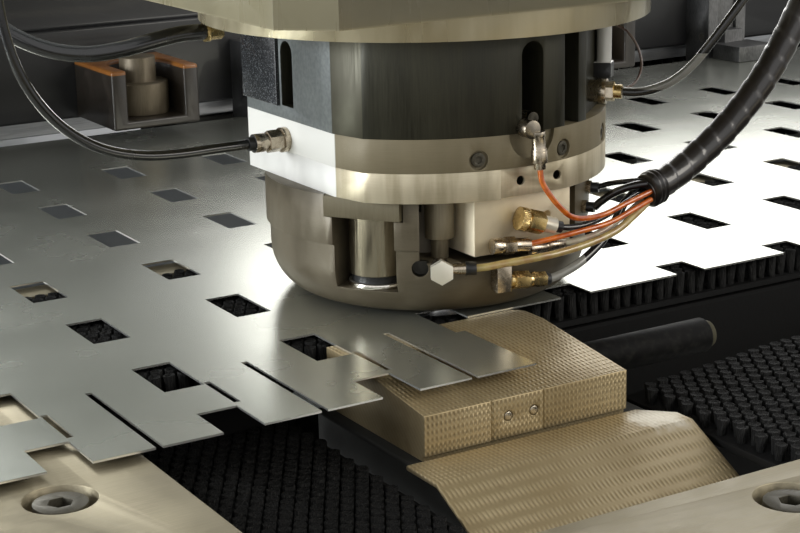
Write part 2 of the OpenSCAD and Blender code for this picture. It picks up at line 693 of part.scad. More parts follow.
// Embossed chute cover: one folded plate with a chamfered corner
module chute_cover() color("rosybrown") difference() {
    side_profile([
        [chute_y, console_top - chute_t], [chute_y, console_top], [chute_knee, console_top],
        [chute_end, console_top - chute_fall], [chute_end, console_top - chute_fall - chute_t], [chute_knee,
            console_top - chute_t]
    ], chute_x0, chute_x1);
    translate([chute_x1 - 22, chute_y, 0]) rotate([0, 0, -45]) block([0, 60], [0, 60], [console_top - 10,
        console_top + 1]);
}

// Button-head and countersunk screws of the covers
module cover_screws() color("gray") {
    for (x = [cover_x0 + 70, cover_x0 + 92]) translate([x, cover_y0, console_top + 16]) rotate([-90, 0, 0])
        cylinder(h = 2, r = 3.2);
    for (p = [[chute_x1 - 30, chute_knee - 70], [chute_x0 + 30, chute_knee - 70]])
        translate([p[0], p[1], console_top - (chute_knee - p[1]) * tan(chute_a)]) rotate([chute_a, 0, 0])
            cylinder(h = 5, r = 9);
}

// Rubber-sleeved guard bar beside the die cover, on its bracket
module guard_bar() color("dimgray") {
    translate([bar_x[0], bar_y, bar_z]) rotate([0, 90, 0]) cylinder(h = bar_x[1] - bar_x[0], r = bar_r);
    translate([bar_x[1], bar_y, bar_z]) rotate([0, 90, 0]) cylinder(h = 6, r = bar_r - 3);
}

chute_wall = 3;
chute_rear = field_y;
chute_z = [lower_top + chute_lift, plate_under];
// Sheet-metal chute under the flap: three walls hung from the table plate, open towards the console
module parts_chute() color("dimgray") {
    x = [chute_x1 - 8 + seat_gap, pit_x1 + 5];
    y = [pit_y0 - 6, chute_rear + chute_wall];
    block(x, [y[0], y[0] + chute_wall], chute_z);
    block([x[1] - chute_wall, x[1]], y, [chute_z[0], plate_under - tray_t]);
    block([x[1] - chute_wall, x[1]], [y[0], chute_rear - seat_gap], chute_z);
    block(x, [chute_rear, y[1]], [chute_z[0], plate_under - tray_t]);
}

flap_t = 6;
flap_l = flap_hinge_x - flap_x0;
module flap_place() translate([flap_hinge_x, 0, flap_hinge_z]) rotate([0, -flap_a, 0]) children();
// Tilting flap that lets finished parts fall, with its hinge tube and ribs
module parts_flap() color("dimgray") flap_place() difference() {
    union() {
        block([-flap_l, -flap_pin_r], [flap_y0, flap_y1], [-flap_t, 0]);
        for (y = [flap_y0 + 30, (flap_y0 + flap_y1) / 2, flap_y1 - 40])
            block([-flap_l + 30, -flap_pin_r - 4], [y, y + 8], [-flap_t - 16, -flap_t]);
        translate([0, flap_y0, -flap_t]) rotate([-90, 0, 0]) cylinder(h = flap_y1 - flap_y0,
            r = flap_pin_r + 5);
    }
    translate([0, flap_y0 - 1, -flap_t]) rotate([-90, 0, 0]) cylinder(h = flap_y1 - flap_y0 + 2,
        r = flap_pin_r + run_c);
}

// Brush mat on the flap
module flap_brush() color("black") flap_place()
    block([-flap_l + 2, -flap_pin_r - 6], [flap_y0 + 2, flap_y1 - 2], [0, 14]);

// Ground table plate around the pit, with the flap's hinge rod in its two ears
module station_plate() color("tan") {
    difference() {
        block([-plate_x, plate_x], [plate_front, plate_rear], [plate_under, plate_top]);
        block([pit_x0, pit_x1], [pit_y0, pit_y1], [plate_under - 1, plate_top + 1]);
        for (p = bolt_at) translate([p[0], p[1], 0]) disc(bolt_cb, plate_top - 14, plate_top + 1);
    }
    for (y = [[pit_y0, flap_y0 - seat_gap], [flap_y1 + seat_gap, flap_y1 + 8]])
        block([flap_hinge_x - 14, pit_x1], y, [flap_hinge_z - 24, flap_hinge_z + 6]);
    flap_place() translate([0, flap_y0 - 2, -flap_t]) rotate([-90, 0, 0])
        cylinder(h = flap_y1 - flap_y0 + 6, r = flap_pin_r);
}

bolt_cb = 23;
bolt_at = [[-428, -268], [-65, -508], [-600, -268], [-428, -600], [300, -508], [600, -508], [600, -100],
    [-600, 120], [-428, 120], [600, 150]];
// Socket bolts in the table plate
module plate_bolts() color("gray") for (p = bolt_at) translate([p[0], p[1], 0]) difference() {
    disc(bolt_cb - 6, plate_top - 14, plate_top - 2);
    translate([0, 0, plate_top - 10]) cylinder(h = 10, r = 8, $fn = 6);
}

// Outline of the brush field round the die, seen from above
module field_outline(grow) difference() {
    translate([pit_x0 - grow, field_y]) square([pit_x1 - pit_x0 + 2 * grow, pit_y1 - field_y + grow]);
    circle(r = seat_r + cup_wall + seat_gap);
}

// Sheet-metal tray under the centre brushes, hung from the table plate, with a deep pan at its front
module brush_tray() color("dimgray") {
    translate([0, 0, plate_under - tray_t]) linear_extrude(tray_t) field_outline(8);
    difference() {
        block([low_x[0] - tray_t, low_x[1] + tray_t], [pit_y0 - 5 - tray_t, field_y + tray_t],
            [low_z - tray_t, plate_under]);
        block(low_x, [pit_y0 - 5, field_y], [low_z, plate_under + 1]);
        block([low_x[1] - 1, low_x[1] + tray_t + 1], [pit_y0 - 9, field_y + tray_t + 1],
            [low_z + brush_h / 2, plate_under + 1]);
    }
}

// Stand of the table plate: front legs and a rear beam on the lower arm
module plate_stand() color("dimgray") {
    for (s = [0, 1]) mirror([s, 0, 0]) {
        block([plate_x - 70, plate_x - 10], [plate_front + 20, plate_front + 80], [12, plate_under - 80]);
        translate([plate_x - 40, plate_front + 50, 0]) disc(leg_w / 2, 0, 12);
        block([100, 170], [pit_y1 + 9, plate_rear], [lower_top, plate_under - 80]);
    }
    block([-plate_x + 10, plate_x - 10], [plate_front + 20, plate_front + 80], [plate_under - 80, plate_under]);
    block([-plate_x + 10, plate_x - 10], [pit_y1 + 9, plate_rear], [plate_under - 80, plate_under]);
}

// Dense black brushes: the field round the die, and the low one left of the chute cover
module center_brush() color("black") {
    translate([0, 0, plate_under]) linear_extrude(brush_top - plate_under) field_outline(0);
    block(low_x, [pit_y0 - 5, field_y], [low_z, low_z + brush_h]);
}

module table_half() {
    block([table_x, side_x], [side_front, plate_rear], [plate_under, rear_top]);
    block([saddle_gap, side_x], [plate_rear, rear_end], [plate_under - 12, rear_top - 12]);
    for (y = [side_front, plate_rear - 60]) block([table_x, side_x], [y, y + 60], [leg_z, plate_under]);
    block([saddle_gap, side_x], [rear_end - 60, rear_end], [leg_z, plate_under - 12]);
    for (x = [table_x, side_x - 60]) block([x, x + 60], [side_front, rear_end], [leg_z, plate_under - 12]);
    for (x = [table_x, side_x - leg_w], y = [side_front, rear_end - leg_w]) {
        block([x, x + leg_w], [y, y + leg_w], [12, leg_z]);
        translate([x + leg_w / 2, y + leg_w / 2, 0]) disc(leg_w * 0.7, 0, 12);
    }
}
// Side tables on their legs, lower behind the head where the clamps pass over
module side_table_right() color("silver") table_half();
module side_table_left() color("silver") mirror([1, 0, 0]) table_half();

// Brush strips on the side tables and on the rear tables
module side_brushes() color("black") for (s = [0, 1]) mirror([s, 0, 0]) {
    for (y = [side_front + 40:strip_pitch:plate_rear - strip_w])
        block([plate_x + 30, side_x - 30], [y, y + strip_w], [rear_top, brush_top]);
    for (y = [plate_rear + 70:strip_pitch:rear_end - strip_w])
        block([saddle_gap + 20, side_x - 30], [y, y + strip_w], [rear_top - 12, rear_top]);
}

// Two guides of the saddle on the lower arm
module y_guides() color("silver") for (x = [-guide_x, guide_x])
    block([x - guide_w / 2, x + guide_w / 2], [330, throat - 130], [lower_top, guide_top]);

saddle_y = [840, 1140];
// Saddle that carries the rail to and fro
module saddle() color("gainsboro") difference() {
    block([-saddle_x, saddle_x], saddle_y, [guide_top + bearing_h - 30, saddle_top]);
    for (x = [-1, 1]) block([x * 210 - 60, x * 210 + 60], saddle_y + [40, -40], [guide_top + bearing_h,
        saddle_top - 25]);
}

// Guide carriages under the saddle and under the rail
module saddle_bearings() color("darkslategray") {
    for (x = [-guide_x, guide_x], y = [saddle_y[0] + 10, saddle_y[1] - 100]) difference() {
        block([x - guide_w, x + guide_w], [y, y + 90], [lower_top + 8, guide_top + bearing_h - 30]);
        block([x - guide_w / 2 - seat_gap, x + guide_w / 2 + seat_gap], [y - 1, y + 91], [lower_top,
            guide_top + seat_gap]);
    }
    for (x = [-250, 160], y = [rail_front + 20, rail_front + rail_d - 60])
        block([x, x + 90], [y, y + 40], [saddle_top, saddle_top + x_bearing_h]);
}

// Long box rail with end caps and a rack face
module x_rail() color("gainsboro") difference() {
    block([rail_x, rail_x + rail_l], [rail_front, rail_front + rail_d], [rail_z, rail_top]);
    block([rail_x + 40, rail_x + rail_l - 40], [rail_front - 1, rail_front + 8], [rail_z + 110, rail_top - 20]);
    block([rail_x - 1, rail_x + 60], [rail_front + 30, rail_front + rail_d - 30], [rail_z + 30, rail_top - 30]);
    block([rail_x + rail_l - 60, rail_x + rail_l + 1], [rail_front + 30, rail_front + rail_d - 30],
        [rail_z + 30, rail_top - 30]);
}

// Two guides under the rail
module x_guides() color("silver") for (y = [rail_front + 28, rail_front + rail_d - 52])
    block([rail_x + 10, rail_x + rail_l - 10], [y, y + 24], [rail_guide_z, rail_z]);

// Clamp bodies on the rail: a thin lower jaw and two cheeks
module clamp_bodies() color("dimgray") for (x = clamp_x) translate([x, 0, 0]) difference() {
    union() {
        block([-clamp_w / 2, clamp_w / 2], [sheet_rear - bite, rail_front], [sheet_under - seat_gap - 9,
            sheet_under - seat_gap]);
        block([-clamp_w / 2, clamp_w / 2], [sheet_rear + 6, rail_front], [sheet_under - seat_gap - 9,
            pass_z + clamp_h]);
    }
    block([-jaw_w / 2 - seat_gap, jaw_w / 2 + seat_gap], [sheet_rear, rail_front - 6], [pass_z,
        pass_z + clamp_h + 1]);
    translate([0, pivot_y, pivot_z]) rotate([0, 90, 0]) cylinder(h = clamp_w + 2, r = jaw_pin_r, center = true);
}

// Pins of the clamp jaws
module clamp_pins() color("silver") for (x = clamp_x) translate([x, pivot_y, pivot_z]) rotate([0, 90, 0])
    cylinder(h = clamp_w, r = jaw_pin_r, center = true);

// Upper jaw of one clamp: a wide pad, a lever and the pin's eye
module jaw() difference() {
    union() {
        block([-clamp_w / 2 + 2, clamp_w / 2 - 2], [sheet_rear - bite, sheet_rear - 2], [pass_z + seat_gap,
            pass_z + 22]);
        block([-jaw_w / 2, jaw_w / 2], [sheet_rear - 10, pivot_y], [pass_z + 6, pivot_z + 12]);
        translate([0, pivot_y, pivot_z]) rotate([0, 90, 0]) cylinder(h = jaw_w, r = 14, center = true);
        block([-jaw_w / 2, jaw_w / 2], [pivot_y - 10, pivot_y + 8], [pivot_z, pivot_z + 56]);
    }
    translate([0, pivot_y, pivot_z]) rotate([0, 90, 0]) cylinder(h = jaw_w + 2, r = jaw_pin_r + run_c,
        center = true);
}
module clamp_jaw_left() color("gray") translate([clamp_x[0], 0, 0]) jaw();
module clamp_jaw_middle() color("gray") translate([clamp_x[1], 0, 0]) jaw();
module clamp_jaw_right() color("gray") translate([clamp_x[2], 0, 0]) jaw();

// Tool cassettes on the rail, each a block with an open-fronted seat
module tool_cassettes() color("darkorange") for (x = cassette_x) translate([x, 0, 0]) difference() {
    block([-cassette_w / 2, cassette_w / 2], [rail_front - cassette_d, rail_front],
        [pass_z + cassette_z - 10, pass_z + cassette_z + cassette_h]);
    translate([0, rail_front - tool_y, 0]) disc(tool_r + seat_gap, pass_z + cassette_z,
        pass_z + cassette_z + cassette_h + 1);
    block([-tool_r - seat_gap, tool_r + seat_gap], [rail_front - cassette_d - 1, rail_front - tool_y],
        [pass_z + cassette_z, pass_z + cassette_z + cassette_h + 1]);
}

// Spare tools in the cassettes: an aligning ring with the punch above it
module spare_tools() color("silver") for (x = cassette_x)
    translate([x, rail_front - tool_y, pass_z + cassette_z]) {
    disc(tool_r, 0, 38);
    disc(tool_r * 0.6, 38, 68);
}

// Column of the hole pattern, counted from the sheet's left end
function col_x(k) = col_first + k * col_pitch;
function row_y(r) = sheet_cut_front + r * row_pitch;
columns = floor((sheet_x + sheet_l - col_first - hole_w) / col_pitch);
rows = floor((sheet_rear - bite - sheet_cut_front - hole_l / 2 - 40) / row_pitch);
notch_d = 42;
// Part-worked sheet: holes in rows, notches in the front edge and parting slits
module sheet() color("lightgray") translate([0, 0, sheet_under]) linear_extrude(sheet_t) difference() {
    union() {
        translate([sheet_x, sheet_cut_front]) square([sheet_l, sheet_rear - sheet_cut_front]);
        translate([sheet_x, sheet_front]) square([sheet_step - sheet_x, sheet_cut_front - sheet_front + 1]);
    }
    for (k = [0:columns], r = [0:rows]) translate([col_x(k), row_y(r)]) square([hole_w, hole_l], center = true);
    for (k = [0:columns]) if (col_x(k) < sheet_step) {
        translate([col_x(k) - hole_w / 2, sheet_front - 1]) square([hole_w, notch_d + 1]);
        translate([col_x(k) + hole_w / 2 + 1, row_y(0) - hole_l / 2 - 46]) square([slit_w, 50]);
        if (col_x(k) + col_pitch / 2 < sheet_step)
            translate([col_x(k) + col_pitch / 2 - slit_w / 2, sheet_front - 1])
                square([slit_w, sheet_cut_front - sheet_front]);
    }
    square([slit_w + 1, punch_l + 1], center = true);
}

gland_x = arm_w / 2 + gland_l;
// Hose routes, from the head to the glands on the upper arm, above the sheet's plane
left_air_route = [[-156, 15, 131], [-185, 15, 131], [-215, 14, 131], [-247, 12, 134], [-278, 10, 143],
    [-304, 8, 159],
    [-325, 6, 181], [-341, 4, 209], [-350, 3, 242], [-353, 3, 278], [-350, 5, 316], [-340, 9, 352], [-319,
        14, 384],
    [-gland_x - 64, 18, 405], [-gland_x - 32, 20, 414], [-gland_x, 20, 414]];
left_feed_route = [[-168, 60, 216], [-188, 60, 216], [-210, 61, 213], [-236, 65, 208], [-264, 72, 206],
    [-293, 82, 212],
    [-320, 96, 228], [-340, 112, 254], [-351, 130, 288], [-352, 146, 323], [-342, 158, 356], [-320, 168, 384],
    [-gland_x - 64, 174, 400], [-gland_x - 32, 175, 404], [-gland_x, 175, 404]];
cable_route = [[106.5, -124.5, 164], [114.5, -133.5, 164], [123, -143, 167], [133, -154, 174], [143, -165,
    187], [153, -176, 206],
    [167, -188, 232], [186, -197, 262], [208, -199, 294], [229, -192, 324], [245, -176, 350], [253, -154,
        371], [253, -132, 388],
    [gland_x + 21, -115, 399], [gland_x + 12, -104, 402], [gland_x, -104, 402]];
bundle_route = [[118, -140, 84], [142, -139, 91], [172, -138, 106], [205, -142, 132], [236, -147, 168],
    [264, -150, 212],
    [290, -148, 255], [312, -145, 298], [325, -140, 342], [323, -134, 377], [305, -128, 408],
    [gland_x + 48, -125, 428], [gland_x + 22, -124, 434], [gland_x, -124, 434]];
// Tubes of the head, each with its radius, from their fittings to the mouth of the bundle
tube_routes = [
    [2.2, [[4, -156, 120.7], [5.5, -157, 110], [12, -158.5, 99], [22, -158, 88], [34, -156, 79], [50, -153, 75],
        [70, -150.5, 75], [92, -149, 80], [118, -147.5, 86]]],
    [2.2, [[3.8, -141.3, 58.8], [13, -145, 60.5], [27, -148.5, 62.5], [46, -151.5, 65], [72, -153, 68], [96,
        -151, 74],
        [118, -147.5, 79.5]]],
    [3, [[-39.6, -133.4, 44.8], [-31, -138.5, 45.8], [-20, -144.5, 48], [-5, -149.5, 49.5], [23, -154, 51.5],
        [54, -155, 55.5], [80, -153, 61], [100, -148, 68.5], [118, -142.5, 75.5]]],
    [2.5, [[39, -138.5, 54], [51, -142, 55], [68, -145.5, 59], [86, -144.5, 65.5], [103, -140.5, 71], [118,
        -136, 76.8]]],
    [3.5, [[22.1, -142.6, 28.3], [33, -144, 31], [52, -145, 38.5], [74, -141, 50], [92, -135, 63], [105,
        -131, 76],
        [118, -131.5, 85.5]]],
    [2.5, [[31.9, -144.7, 68.9], [40, -146, 67.8], [54, -146.3, 67.8], [74, -144, 71], [98, -142, 78.5],
        [118, -141, 85]]],
    [3.2, [[86.7, -115, 71], [90, -119, 76], [98, -128, 84.5], [108, -137.5, 90], [118, -143, 91.5]]],
    [2.2, [[96.8, -103.9, 84], [104, -113, 88], [110, -125, 91], [118, -136.5, 93]]]
];

// A curve through the route's points: Catmull-Rom, n pieces to each span
function at(p, i) = p[max(0, min(len(p) - 1, i))];
function curve(p, n) = concat([for (i = [0:len(p) - 2], k = [0:n - 1]) let (t = k / n, a = at(p, i - 1),
    b = p[i], c = p[i + 1], d = at(p, i + 2))
    (2 * b + (c - a) * t + (2 * a - 5 * b + 4 * c - d) * t * t + (3 * b - 3 * c + d - a) * t * t * t) / 2],
        [p[len(p) - 1]]);
function unit(v) = v / norm(v);
// Direction of the curve at point i
function heading(p, i) = unit(at(p, i + 1) - at(p, i - 1));
side_hint = [0.35, 0.9, 0.2];
function ring_at(p, i, r, s) = let (h = heading(p, i), u = unit(cross(h, side_hint)), v = cross(h, u))
    [for (k = [0:s - 1]) p[i] + r * (cos(360 * k / s) * u + sin(360 * k / s) * v) + [0, 0, pass_z]];
// A round tube swept along a route
module swept(route, r, s, n) {
    p = curve(route, n);
    m = len(p);
    polyhedron(
        points = [for (i = [0:m - 1]) each ring_at(p, i, r, s)],
        faces = concat([[for (k = [0:s - 1]) k]],
            [for (i = [0:m - 2], k = [0:s - 1]) [i * s + k, (i + 1) * s + k, i * s + (k + 1) % s]],
            [for (i = [0:m - 2], k = [0:s - 1]) [(i + 1) * s + k, (i + 1) * s + (k + 1) % s,
                i * s + (k + 1) % s]],
            [[for (k = [s - 1:-1:0]) (m - 1) * s + k]]),
        convexity = 6);
}
module left_air_hose() color("black") swept(left_air_route, air_r, 8, 1);
module left_feed_hose() color("black") swept(left_feed_route, feed_r, 8, 1);
module sensor_cable() color("gray") swept(cable_route, cable_r, 8, 1);
module hose_bundle() color("black") swept(bundle_route, bundle_r, 10, 1);
module head_tubes() color("orange") for (t = tube_routes) swept(t[1], t[0], 8, 1);

// Bulkhead glands on the upper arm where the hoses enter it
module hose_glands() color("silver") {
    for (g = [[left_air_route, air_r + 5], [left_feed_route, feed_r + 5]]) let (e = g[0][len(g[0]) - 1])
        translate([-arm_w / 2, e[1], e[2] + pass_z]) rotate([0, -90, 0]) cylinder(h = gland_l, r = g[1]);
    for (g = [[cable_route, cable_r + 4.5], [bundle_route, bundle_r + 5]]) let (e = g[0][len(g[0]) - 1])
        translate([arm_w / 2, e[1], e[2] + pass_z]) rotate([0, 90, 0]) cylinder(h = gland_l, r = g[1]);
}

c_frame();
side_cover_left();
side_cover_right();
nose_cover();
ram_cylinder();
index_stator();
head_housing();
head_block();
block_plate();
mount_ring();
clamp_ring();
holddown_bowl();
guide_column();
guide_pin();
manifold();
head_fittings();
position_sensor();
ring_screws();
spindle_sleeve();
ram();
punch();
stripper_plate();
die_pedestal();
die_holder();
die();
die_console();
die_cover();
chute_cover();
cover_screws();
guard_bar();
parts_flap();
flap_brush();
station_plate();
plate_bolts();
plate_stand();
brush_tray();
center_brush();
side_table_left();
side_table_right();
side_brushes();
y_guides();
saddle();
saddle_bearings();
x_rail();
x_guides();
clamp_bodies();
clamp_pins();
clamp_jaw_left();
clamp_jaw_middle();
clamp_jaw_right();
tool_cassettes();
spare_tools();
sheet();
left_air_hose();
left_feed_hose();
sensor_cable();
hose_bundle();
head_tubes();
hose_glands();
parts_chute();
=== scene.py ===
import math
import random

import bmesh
import bpy
from mathutils import Matrix, Vector
from mathutils.geometry import interpolate_bezier


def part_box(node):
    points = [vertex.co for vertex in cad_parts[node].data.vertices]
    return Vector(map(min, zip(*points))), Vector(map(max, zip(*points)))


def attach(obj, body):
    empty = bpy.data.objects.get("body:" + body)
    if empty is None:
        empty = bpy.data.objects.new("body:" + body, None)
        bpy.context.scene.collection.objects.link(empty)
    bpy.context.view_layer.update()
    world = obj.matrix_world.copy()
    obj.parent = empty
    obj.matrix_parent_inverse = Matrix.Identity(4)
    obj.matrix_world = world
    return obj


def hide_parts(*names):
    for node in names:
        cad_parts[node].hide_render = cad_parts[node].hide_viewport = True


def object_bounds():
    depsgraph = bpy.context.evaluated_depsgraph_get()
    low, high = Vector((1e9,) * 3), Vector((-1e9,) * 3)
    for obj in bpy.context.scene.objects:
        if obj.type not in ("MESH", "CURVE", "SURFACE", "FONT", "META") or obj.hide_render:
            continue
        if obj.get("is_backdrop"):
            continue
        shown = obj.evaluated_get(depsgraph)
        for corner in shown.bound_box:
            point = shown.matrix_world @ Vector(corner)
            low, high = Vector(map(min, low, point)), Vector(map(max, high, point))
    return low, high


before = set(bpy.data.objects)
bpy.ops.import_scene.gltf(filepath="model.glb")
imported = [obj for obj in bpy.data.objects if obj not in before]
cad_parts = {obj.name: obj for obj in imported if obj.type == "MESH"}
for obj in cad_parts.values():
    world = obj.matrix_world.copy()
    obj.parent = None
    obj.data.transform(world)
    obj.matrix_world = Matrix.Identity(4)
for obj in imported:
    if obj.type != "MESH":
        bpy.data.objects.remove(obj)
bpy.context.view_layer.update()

# Camera. A long lens stands 1.5 m from the punching head, to its left and above the sheet, and
# looks along the rows of punched holes, past the front of the head.
pass_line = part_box("sheet")[1].z
eye = Vector((-0.7563, -1.2243, pass_line + 0.4075))
yaw, pitch, roll = (math.radians(a) for a in (30.755, 15.438, -1.235))
camera_data = bpy.data.cameras.new("camera")
camera_data.sensor_width = 36.0
camera_data.lens = 79.8
camera_data.clip_start = 0.05
camera = bpy.data.objects.new("camera", camera_data)
bpy.context.scene.collection.objects.link(camera)
turn = Matrix.Rotation(-yaw, 4, "Z") @ Matrix.Rotation(math.pi / 2 - pitch, 4, "X")
camera.matrix_world = Matrix.Translation(eye) @ turn @ Matrix.Rotation(roll, 4, "Z")
bpy.context.scene.camera = camera


class Wire:
    """A shader value. Each sum with it adds a Math node, and node() adds any other node."""

    def __init__(self, tree, socket):
        self.tree = tree
        self.socket = socket

    def node(self, kind, settings, inputs, output=0):
        added = self.tree.nodes.new("ShaderNode" + kind)
        for key, value in settings.items():
            setattr(added, key, value)
        for key, value in inputs.items():
            if isinstance(value, Wire):
                self.tree.links.new(value.socket, added.inputs[key])
            else:
                added.inputs[key].default_value = value
        return Wire(self.tree, added.outputs[output])

    def math(self, operation, first, second=0.0):
        return self.node("Math", {"operation": operation}, {0: first, 1: second})

    def __add__(self, other):
        return self.math("ADD", self, other)

    def __sub__(self, other):
        return self.math("SUBTRACT", self, other)

    def __rsub__(self, other):
        return self.math("SUBTRACT", other, self)

    def __mul__(self, other):
        return self.math("MULTIPLY", self, other)

    __radd__ = __add__

    def step(self, low, high):
        """0 below low, 1 above high, and smooth between them."""
        ends = {"Value": self, "From Min": low, "From Max": high}
        return self.node("MapRange", {"interpolation_type": "SMOOTHSTEP"}, ends)

    def tint(self, colour, other):
        """The first colour where this value is 0 and the other where it is 1."""
        ends = [(*c, 1.0) if isinstance(c, tuple) else c for c in (colour, other)]
        return self.node("Mix", {"data_type": "RGBA"}, {0: self, 6: ends[0], 7: ends[1]}, 2)

    def axis(self, name):
        return self.node("SeparateXYZ", {}, {0: self}, name)

    def grain(self, size, detail=2.0, stretch=(1, 1, 1)):
        """Noise whose spots are about this many metres across, stretched along the axes."""
        scaled = self.node("VectorMath", {"operation": "MULTIPLY"}, {0: self, 1: stretch})
        return self.node("TexNoise", {}, {"Vector": scaled, "Scale": 1 / size, "Detail": detail})

    def relief(self, depth, strength=1.0):
        """A bump of this height in metres, for the Normal of a shader."""
        return self.node("Bump", {}, {"Height": self, "Distance": depth, "Strength": strength})


def finish(name, colour, roughness, metallic=0.0, coat=0.0):
    """A new material, with its shader's sockets and its object coordinates."""
    material = bpy.data.materials.new(name)
    material.use_nodes = True
    shader = material.node_tree.nodes["Principled BSDF"]
    shader.inputs["Base Color"].default_value = (*colour, 1.0)
    shader.inputs["Roughness"].default_value = roughness
    shader.inputs["Metallic"].default_value = metallic
    shader.inputs["Coat Weight"].default_value = coat
    places = material.node_tree.nodes.new("ShaderNodeTexCoord")
    return material, shader.inputs, Wire(material.node_tree, places.outputs["Object"])


def feed(sockets, **wires):
    """Links wires to the sockets whose names are given with underscores."""
    for name, wire in wires.items():
        wire.tree.links.new(wire.socket, sockets[name.replace("_", " ")])


# Hoses. A thin air hose and a thick feed hose on the left, the sensor's cable on the right, and
# the head's eight tubes, which a taped sleeve gathers. Each is clamped at both ends, and is held
# in its bend by the stiffness of its wall.
def route(points):
    return [Vector((x / 1000, y / 1000, pass_line + z / 1000)) for x, y, z in points]


def smooth_line(points, steps):
    """Points along a smooth line through the route."""
    line = []
    for i in range(len(points) - 1):
        before, here = points[max(i - 1, 0)], points[i]
        there, after = points[i + 1], points[min(i + 2, len(points) - 1)]
        handles = here, here + (there - before) / 6, there - (after - here) / 6, there
        line += interpolate_bezier(*handles, steps)[: steps - 1]
    return line + [points[-1]]


def declared(piece, line, radius, slot, *nodes, path=None, with_pieces=()):
    """Ties a hose's piece to the frame, hides its CAD solids and works out its length."""
    bpy.context.scene.collection.objects.link(piece)
    if nodes:
        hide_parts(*nodes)
    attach(piece, "frame")
    length = sum((b - a).length for a, b in zip(line, line[1:]))
    2 * radius


def hose(name, points, radius, material, slot, *nodes):
    line = smooth_line(route(points), 9)
    curve = bpy.data.curves.new(name, "CURVE")
    curve.dimensions = "3D"
    curve.bevel_depth = radius
    curve.bevel_resolution = 6
    curve.use_fill_caps = True
    spline = curve.splines.new("POLY")
    spline.points.add(len(line) - 1)
    for knot, point in zip(spline.points, line):
        knot.co = (*point, 1.0)
    spline.use_smooth = True
    curve.materials.append(material)
    declared(bpy.data.objects.new(name, curve), line, radius, slot, *nodes)


def hose_rubber(name, colour, roughness):
    material, sockets, place = finish(name, colour, roughness, coat=0.5)
    dust = place.grain(0.02, 4).step(0.5, 0.85)
    lighter = tuple(0.03 + 0.8 * c for c in colour)
    feed(sockets, Base_Color=(dust * 0.35).tint(colour, lighter),
         Roughness=dust * 0.2 + roughness,
         Normal=place.grain(0.0012).relief(0.00006, 0.5))
    return material


def tube_plastic(name, colour, roughness=0.16, deep=0.6):
    """Soft plastic tube, deeper in colour where its wall is thicker to look through."""
    material, sockets, place = finish(name, colour, roughness, coat=0.7)
    cloud = place.grain(0.009, 3).step(0.3, 0.7)
    deeper = (colour[0] * deep, colour[1] * deep * deep, colour[2] * deep * deep)
    feed(sockets, Base_Color=cloud.tint(deeper, colour),
         Roughness=cloud * 0.1 + roughness,
         Normal=place.grain(0.004).relief(0.00008, 0.4))
    return material


def two_coloured(name, near, far, change):
    """A tube in a sleeve of another colour, which ends at a place along X, in metres."""
    material, sockets, place = finish(name, near, 0.24, coat=0.5)
    past = place.axis("X").step(change - 0.0004, change)
    speck = place.grain(0.006, 4).step(0.45, 0.8) * 0.3
    feed(sockets, Base_Color=speck.tint(past.tint(near, far), (0.12, 0.12, 0.11)),
         Roughness=speck * 0.3 + 0.22, Normal=place.grain(0.003).relief(0.00008, 0.4))
    return material


black_hose = hose_rubber("black_hose", (0.006, 0.006, 0.0065), 0.2)
tape_black = hose_rubber("tape_black", (0.018, 0.015, 0.014), 0.34)
black_tube = tube_plastic("black_tube", (0.008, 0.008, 0.009), 0.2)
orange_tube = tube_plastic("orange_tube", (0.80, 0.20, 0.018))
amber_tube = tube_plastic("amber_tube", (0.50, 0.40, 0.15), deep=0.75)
clear_tube = tube_plastic("clear_tube", (0.80, 0.77, 0.60), deep=0.8)
sleeved_tube = two_coloured("sleeved_tube", (0.30, 0.30, 0.275), (0.008, 0.008, 0.009), 0.054)
lead_brown = tube_plastic("lead_brown", (0.10, 0.055, 0.03), 0.3)

# The cable is black out of its gland, then clear-grey over a shrunk sleeve, and black again.
cable_black, sockets, place = finish("cable_black", (0.02, 0.02, 0.02), 0.25, coat=0.5)
above = place.axis("Z") - pass_line
shrunk = above.step(0.1665, 0.167) * (1 - above.step(0.196, 0.1965))
feed(sockets, Base_Color=(shrunk * 0.8).tint((0.02, 0.02, 0.02), (0.34, 0.34, 0.31)),
     Roughness=place.grain(0.004, 3) * 0.2 + 0.15, Normal=place.grain(0.0015).relief(0.00006, 0.4))

left_air_route = [
    (-156, 15, 131), (-185, 15, 131), (-215, 14, 131), (-247, 12, 134), (-278, 10, 143),
    (-304, 8, 159), (-325, 6, 181), (-341, 4, 209), (-350, 3, 242), (-353, 3, 278),
    (-350, 5, 316), (-340, 9, 352), (-319, 14, 384), (-290, 18, 405), (-258, 20, 414),
    (-226, 20, 414)]
left_feed_route = [
    (-168, 60, 216), (-188, 60, 216), (-210, 61, 213), (-236, 65, 208), (-264, 72, 206),
    (-293, 82, 212), (-320, 96, 228), (-340, 112, 254), (-351, 130, 288), (-352, 146, 323),
    (-342, 158, 356), (-320, 168, 384), (-290, 174, 400), (-258, 175, 404), (-226, 175, 404)]
cable_route = [
    (106.5, -124.5, 164), (114.5, -133.5, 164), (123, -143, 167), (133, -154, 174),
    (143, -165, 187), (153, -176, 206), (167, -188, 232), (186, -197, 262), (208, -199, 294),
    (229, -192, 324), (245, -176, 350), (253, -154, 371), (253, -132, 388), (247, -115, 399),
    (238, -104, 402), (226, -104, 402)]
hose("left_air_line", left_air_route, 0.004, black_hose, "hose_black", "left_air_hose")
hose("left_feed_line", left_feed_route, 0.0065, black_hose, "hose_black", "left_feed_hose")
hose("sensor_line", cable_route, 0.0035, cable_black, "cable_grey", "sensor_cable")

